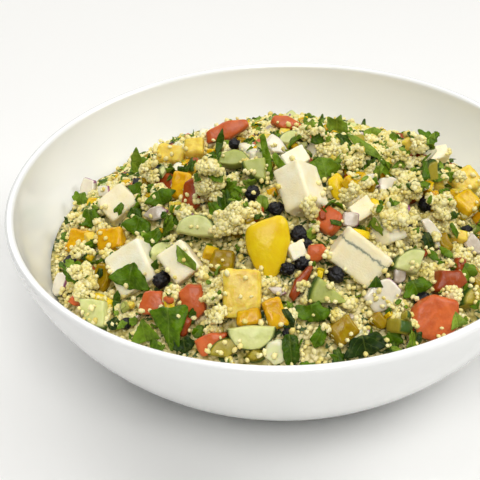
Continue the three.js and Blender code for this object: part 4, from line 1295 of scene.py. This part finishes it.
def clinging_grains(kinds, seed):
    """Spots for grains stuck in patches to the sides of the pieces, most of them low down."""
    rng = np.random.default_rng(seed)
    spots = []
    for kind, wanted in CLING.items():
        points = np.concatenate(kinds[kind].points)
        faces = np.concatenate(kinds[kind].faces)
        a, b, c = (points[faces[:, k]] for k in range(3))
        normal = np.cross(b - a, c - a)
        area = np.linalg.norm(normal, axis=1)
        normal /= np.maximum(area, 1e-9)[:, None]
        pick = rng.choice(len(faces), wanted * 14, p=area / area.sum())
        u, v = rng.random((2, len(pick)))
        u, v = np.where(u + v > 1, 1 - u, u)[:, None], np.where(u + v > 1, 1 - v, v)[:, None]
        at = a[pick] + u * (b[pick] - a[pick]) + v * (c[pick] - a[pick])
        above = at[:, 2] - mound_height(at[:, 0], at[:, 1])
        patchy = value_noise(at / 2.8, 12) + 0.4 * value_noise(at / 1.1, 13)
        odds = np.exp(-np.maximum(above - 0.5, 0) / CLING_BAND) * np.clip(patchy * 1.6 + 0.25, 0, 1)
        odds *= (normal[pick][:, 2] > -0.2) & (above > -1.5)
        kept = np.nonzero(rng.random(len(pick)) < odds)[0][:wanted]
        spots.append(at[kept] + normal[pick][kept] * GRAIN_RADIUS * 0.55)
    return np.concatenate(spots)


def scatter(kinds, bed):
    """Strews grains and small bits over the main pieces, and returns the grains in batches."""
    layers = [Batch(), Batch(), Batch()]
    add_grains(layers[0], clinging_grains(kinds, 61), GRAIN_RADIUS * 0.92, 62)
    ground = Ground(kinds, bed)
    bits = partial(lay_bits, ground, kinds)
    crumbs = partial(lay_crumbs, ground)

    add_grains(layers[0], ground.lay_grains(10000, 1.0, False, 4, 31), GRAIN_RADIUS, 51)
    bits("cucumber", 90, (5, 10), 0.35, 1)
    bits("tomato", 60, (5, 12), 0.4, 4)
    bits("cheese", 50, (7, 13), 0.4, 6)
    bits("yellow", 130, (4, 9), 0.5, 2, 2.5)
    bits("currants", 60, (5, 7), 0.4, 8)
    bits("leaves", 200, (6, 13), 0.6, 3, 1.5)
    bits("herbs", 260, (3, 7), 0.7, 9, 1.0)
    crumbs(layers[0], 1000, (0.9, 1.9), 40)
    crumbs(layers[1], 900, (1.6, 3.6), 41)
    bits("yellow", 170, (2.5, 5.5), 0.5, 12, 1.0)
    bits("cucumber", 70, (3, 5), 0.5, 11)
    bits("onion", 70, (3, 5), 0.5, 5)
    bits("tomato", 60, (2.5, 4.5), 0.5, 14)
    bits("leaves", 220, (5, 10), 0.7, 21, 0.3)
    bits("herbs", 480, (3, 6), 0.8, 7, 0.0)
    crumbs(layers[2], 1800, (1.0, 2.3), 42)
    add_grains(layers[2], ground.lay_grains(2000, 0.7, True, 2, 33), GRAIN_RADIUS, 53)
    bits("herbs", 600, (1.8, 4.2), 0.9, 17, 0.0)
    return layers


def dress(batch, name, material):
    """Makes a batch into a piece of the salad, inside the bowl's wall."""
    batch.points = [keep_inside(points) for points in batch.points]
    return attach(batch.make(name, material), "root")


def make_salad():
    bed = Batch()
    shape = mound_surface()
    bed.add(shape, shape[0], 0.5)
    kinds = gather_pieces()
    grains = scatter(kinds, bed)
    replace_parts(dress(bed, "couscous_bed", bed_material()), "salad_heap")
    looks = {
        "cheese": cheese_material(),
        "veined": cheese_material(("Y", 2.6)),
        "yellow": flesh("yellow", "d0a038", 0.45, 0.24, 0.6, [3.0, 2.2, 0.5]),
        "cucumber": flesh("cucumber", "c8d488", 0.3, 0.33, 0.4, [1.6, 2.0, 0.8], "3c5a1c"),
        "currants": currant_material(),
        "pepper": flesh("pepper", "e8c440", 0.15, 0.3, 0.35, [2.0, 1.9, 0.3]),
        "tomato": flesh("tomato", "b87048", 0.3, 0.3, 0.35, [2.4, 1.0, 0.4]),
        "onion": onion_material(),
        "leaves": leaf_material(),
    }
    looks["herbs"] = looks["leaves"]
    for name in KINDS:
        dress(kinds[name], name, looks[name])
    couscous = couscous_material()
    for number, batch in enumerate(grains, 1):
        dress(batch, f"couscous_{number}", couscous)


# ---- Studio ----

CAMERA_AT = (0, -394.8, 312.6)
CAMERA_PITCH = 34.78
CAMERA_YAW = -2.37
CAMERA_ROLL = -2.40
LENS = 97.5


def make_camera():
    """The camera looks down by the pitch, to the right by the yaw, and is rolled about its own view."""
    pitch, yaw, roll = (math.radians(a) for a in (CAMERA_PITCH, CAMERA_YAW, CAMERA_ROLL))
    aim = Matrix.Rotation(-yaw, 4, "Z") @ Matrix.Rotation(math.pi / 2 - pitch, 4, "X")
    data = bpy.data.cameras.new("camera")
    data.lens = LENS
    camera = bpy.data.objects.new("camera", data)
    bpy.context.scene.collection.objects.link(camera)
    camera.matrix_world = aim @ Matrix.Rotation(roll, 4, "Z")
    camera.location = Vector(CAMERA_AT) * MM
    bpy.context.scene.camera = camera


FLOOR_REACH = 2500


def make_floor():
    corners = np.array([(-1, -1, 0), (1, -1, 0), (1, 1, 0), (-1, 1, 0)], float) * FLOOR_REACH
    batch = Batch()
    batch.add((corners, [(0, 1, 2), (0, 2, 3)], corners), corners, 0.5)
    pale = Shader("floor")
    pale.set(Base_Color=srgb("f2f2f1"), Roughness=0.6, Specular_IOR_Level=0.2)
    floor = batch.make("floor", pale.material)


LAMP_AIM = Vector((0, 0, 0.05))
LAMP_COLOUR = (1.0, 0.99, 0.965)

# Place and size in metres, and power, of each soft lamp.
LAMPS = {
    "front": ((0.0, -0.75, 0.95), 0.7, 8.0),
    "right": ((0.9, 0.0, 0.9), 0.7, 6.8),
    "over": ((0.0, 0.0, 1.3), 0.8, 4.1),
    "back": ((0.0, 0.9, 0.9), 0.7, 2.2),
    "back_left": ((-0.6, 0.7, 0.8), 0.7, 4.2),
}


def make_lamp(name, place, size, power):
    data = bpy.data.lights.new(name, "AREA")
    data.shape = "DISK"
    data.size = size
    data.energy = power
    data.color = LAMP_COLOUR
    lamp = bpy.data.objects.new(name, data)
    bpy.context.scene.collection.objects.link(lamp)
    lamp.location = place
    lamp.rotation_euler = (LAMP_AIM - lamp.location).to_track_quat("-Z", "Y").to_euler()


def make_light():
    world = bpy.data.worlds.new("studio")
    bpy.context.scene.world = world
    world.use_nodes = True
    world.node_tree.nodes["Background"].inputs["Strength"].default_value = 0.0
    for name, settings in LAMPS.items():
        make_lamp(name, *settings)
    bpy.context.scene.view_settings.view_transform = "Standard"
    bpy.context.scene.view_settings.look = "None"


make_bowl()
make_salad()
make_camera()
make_floor()
make_light()
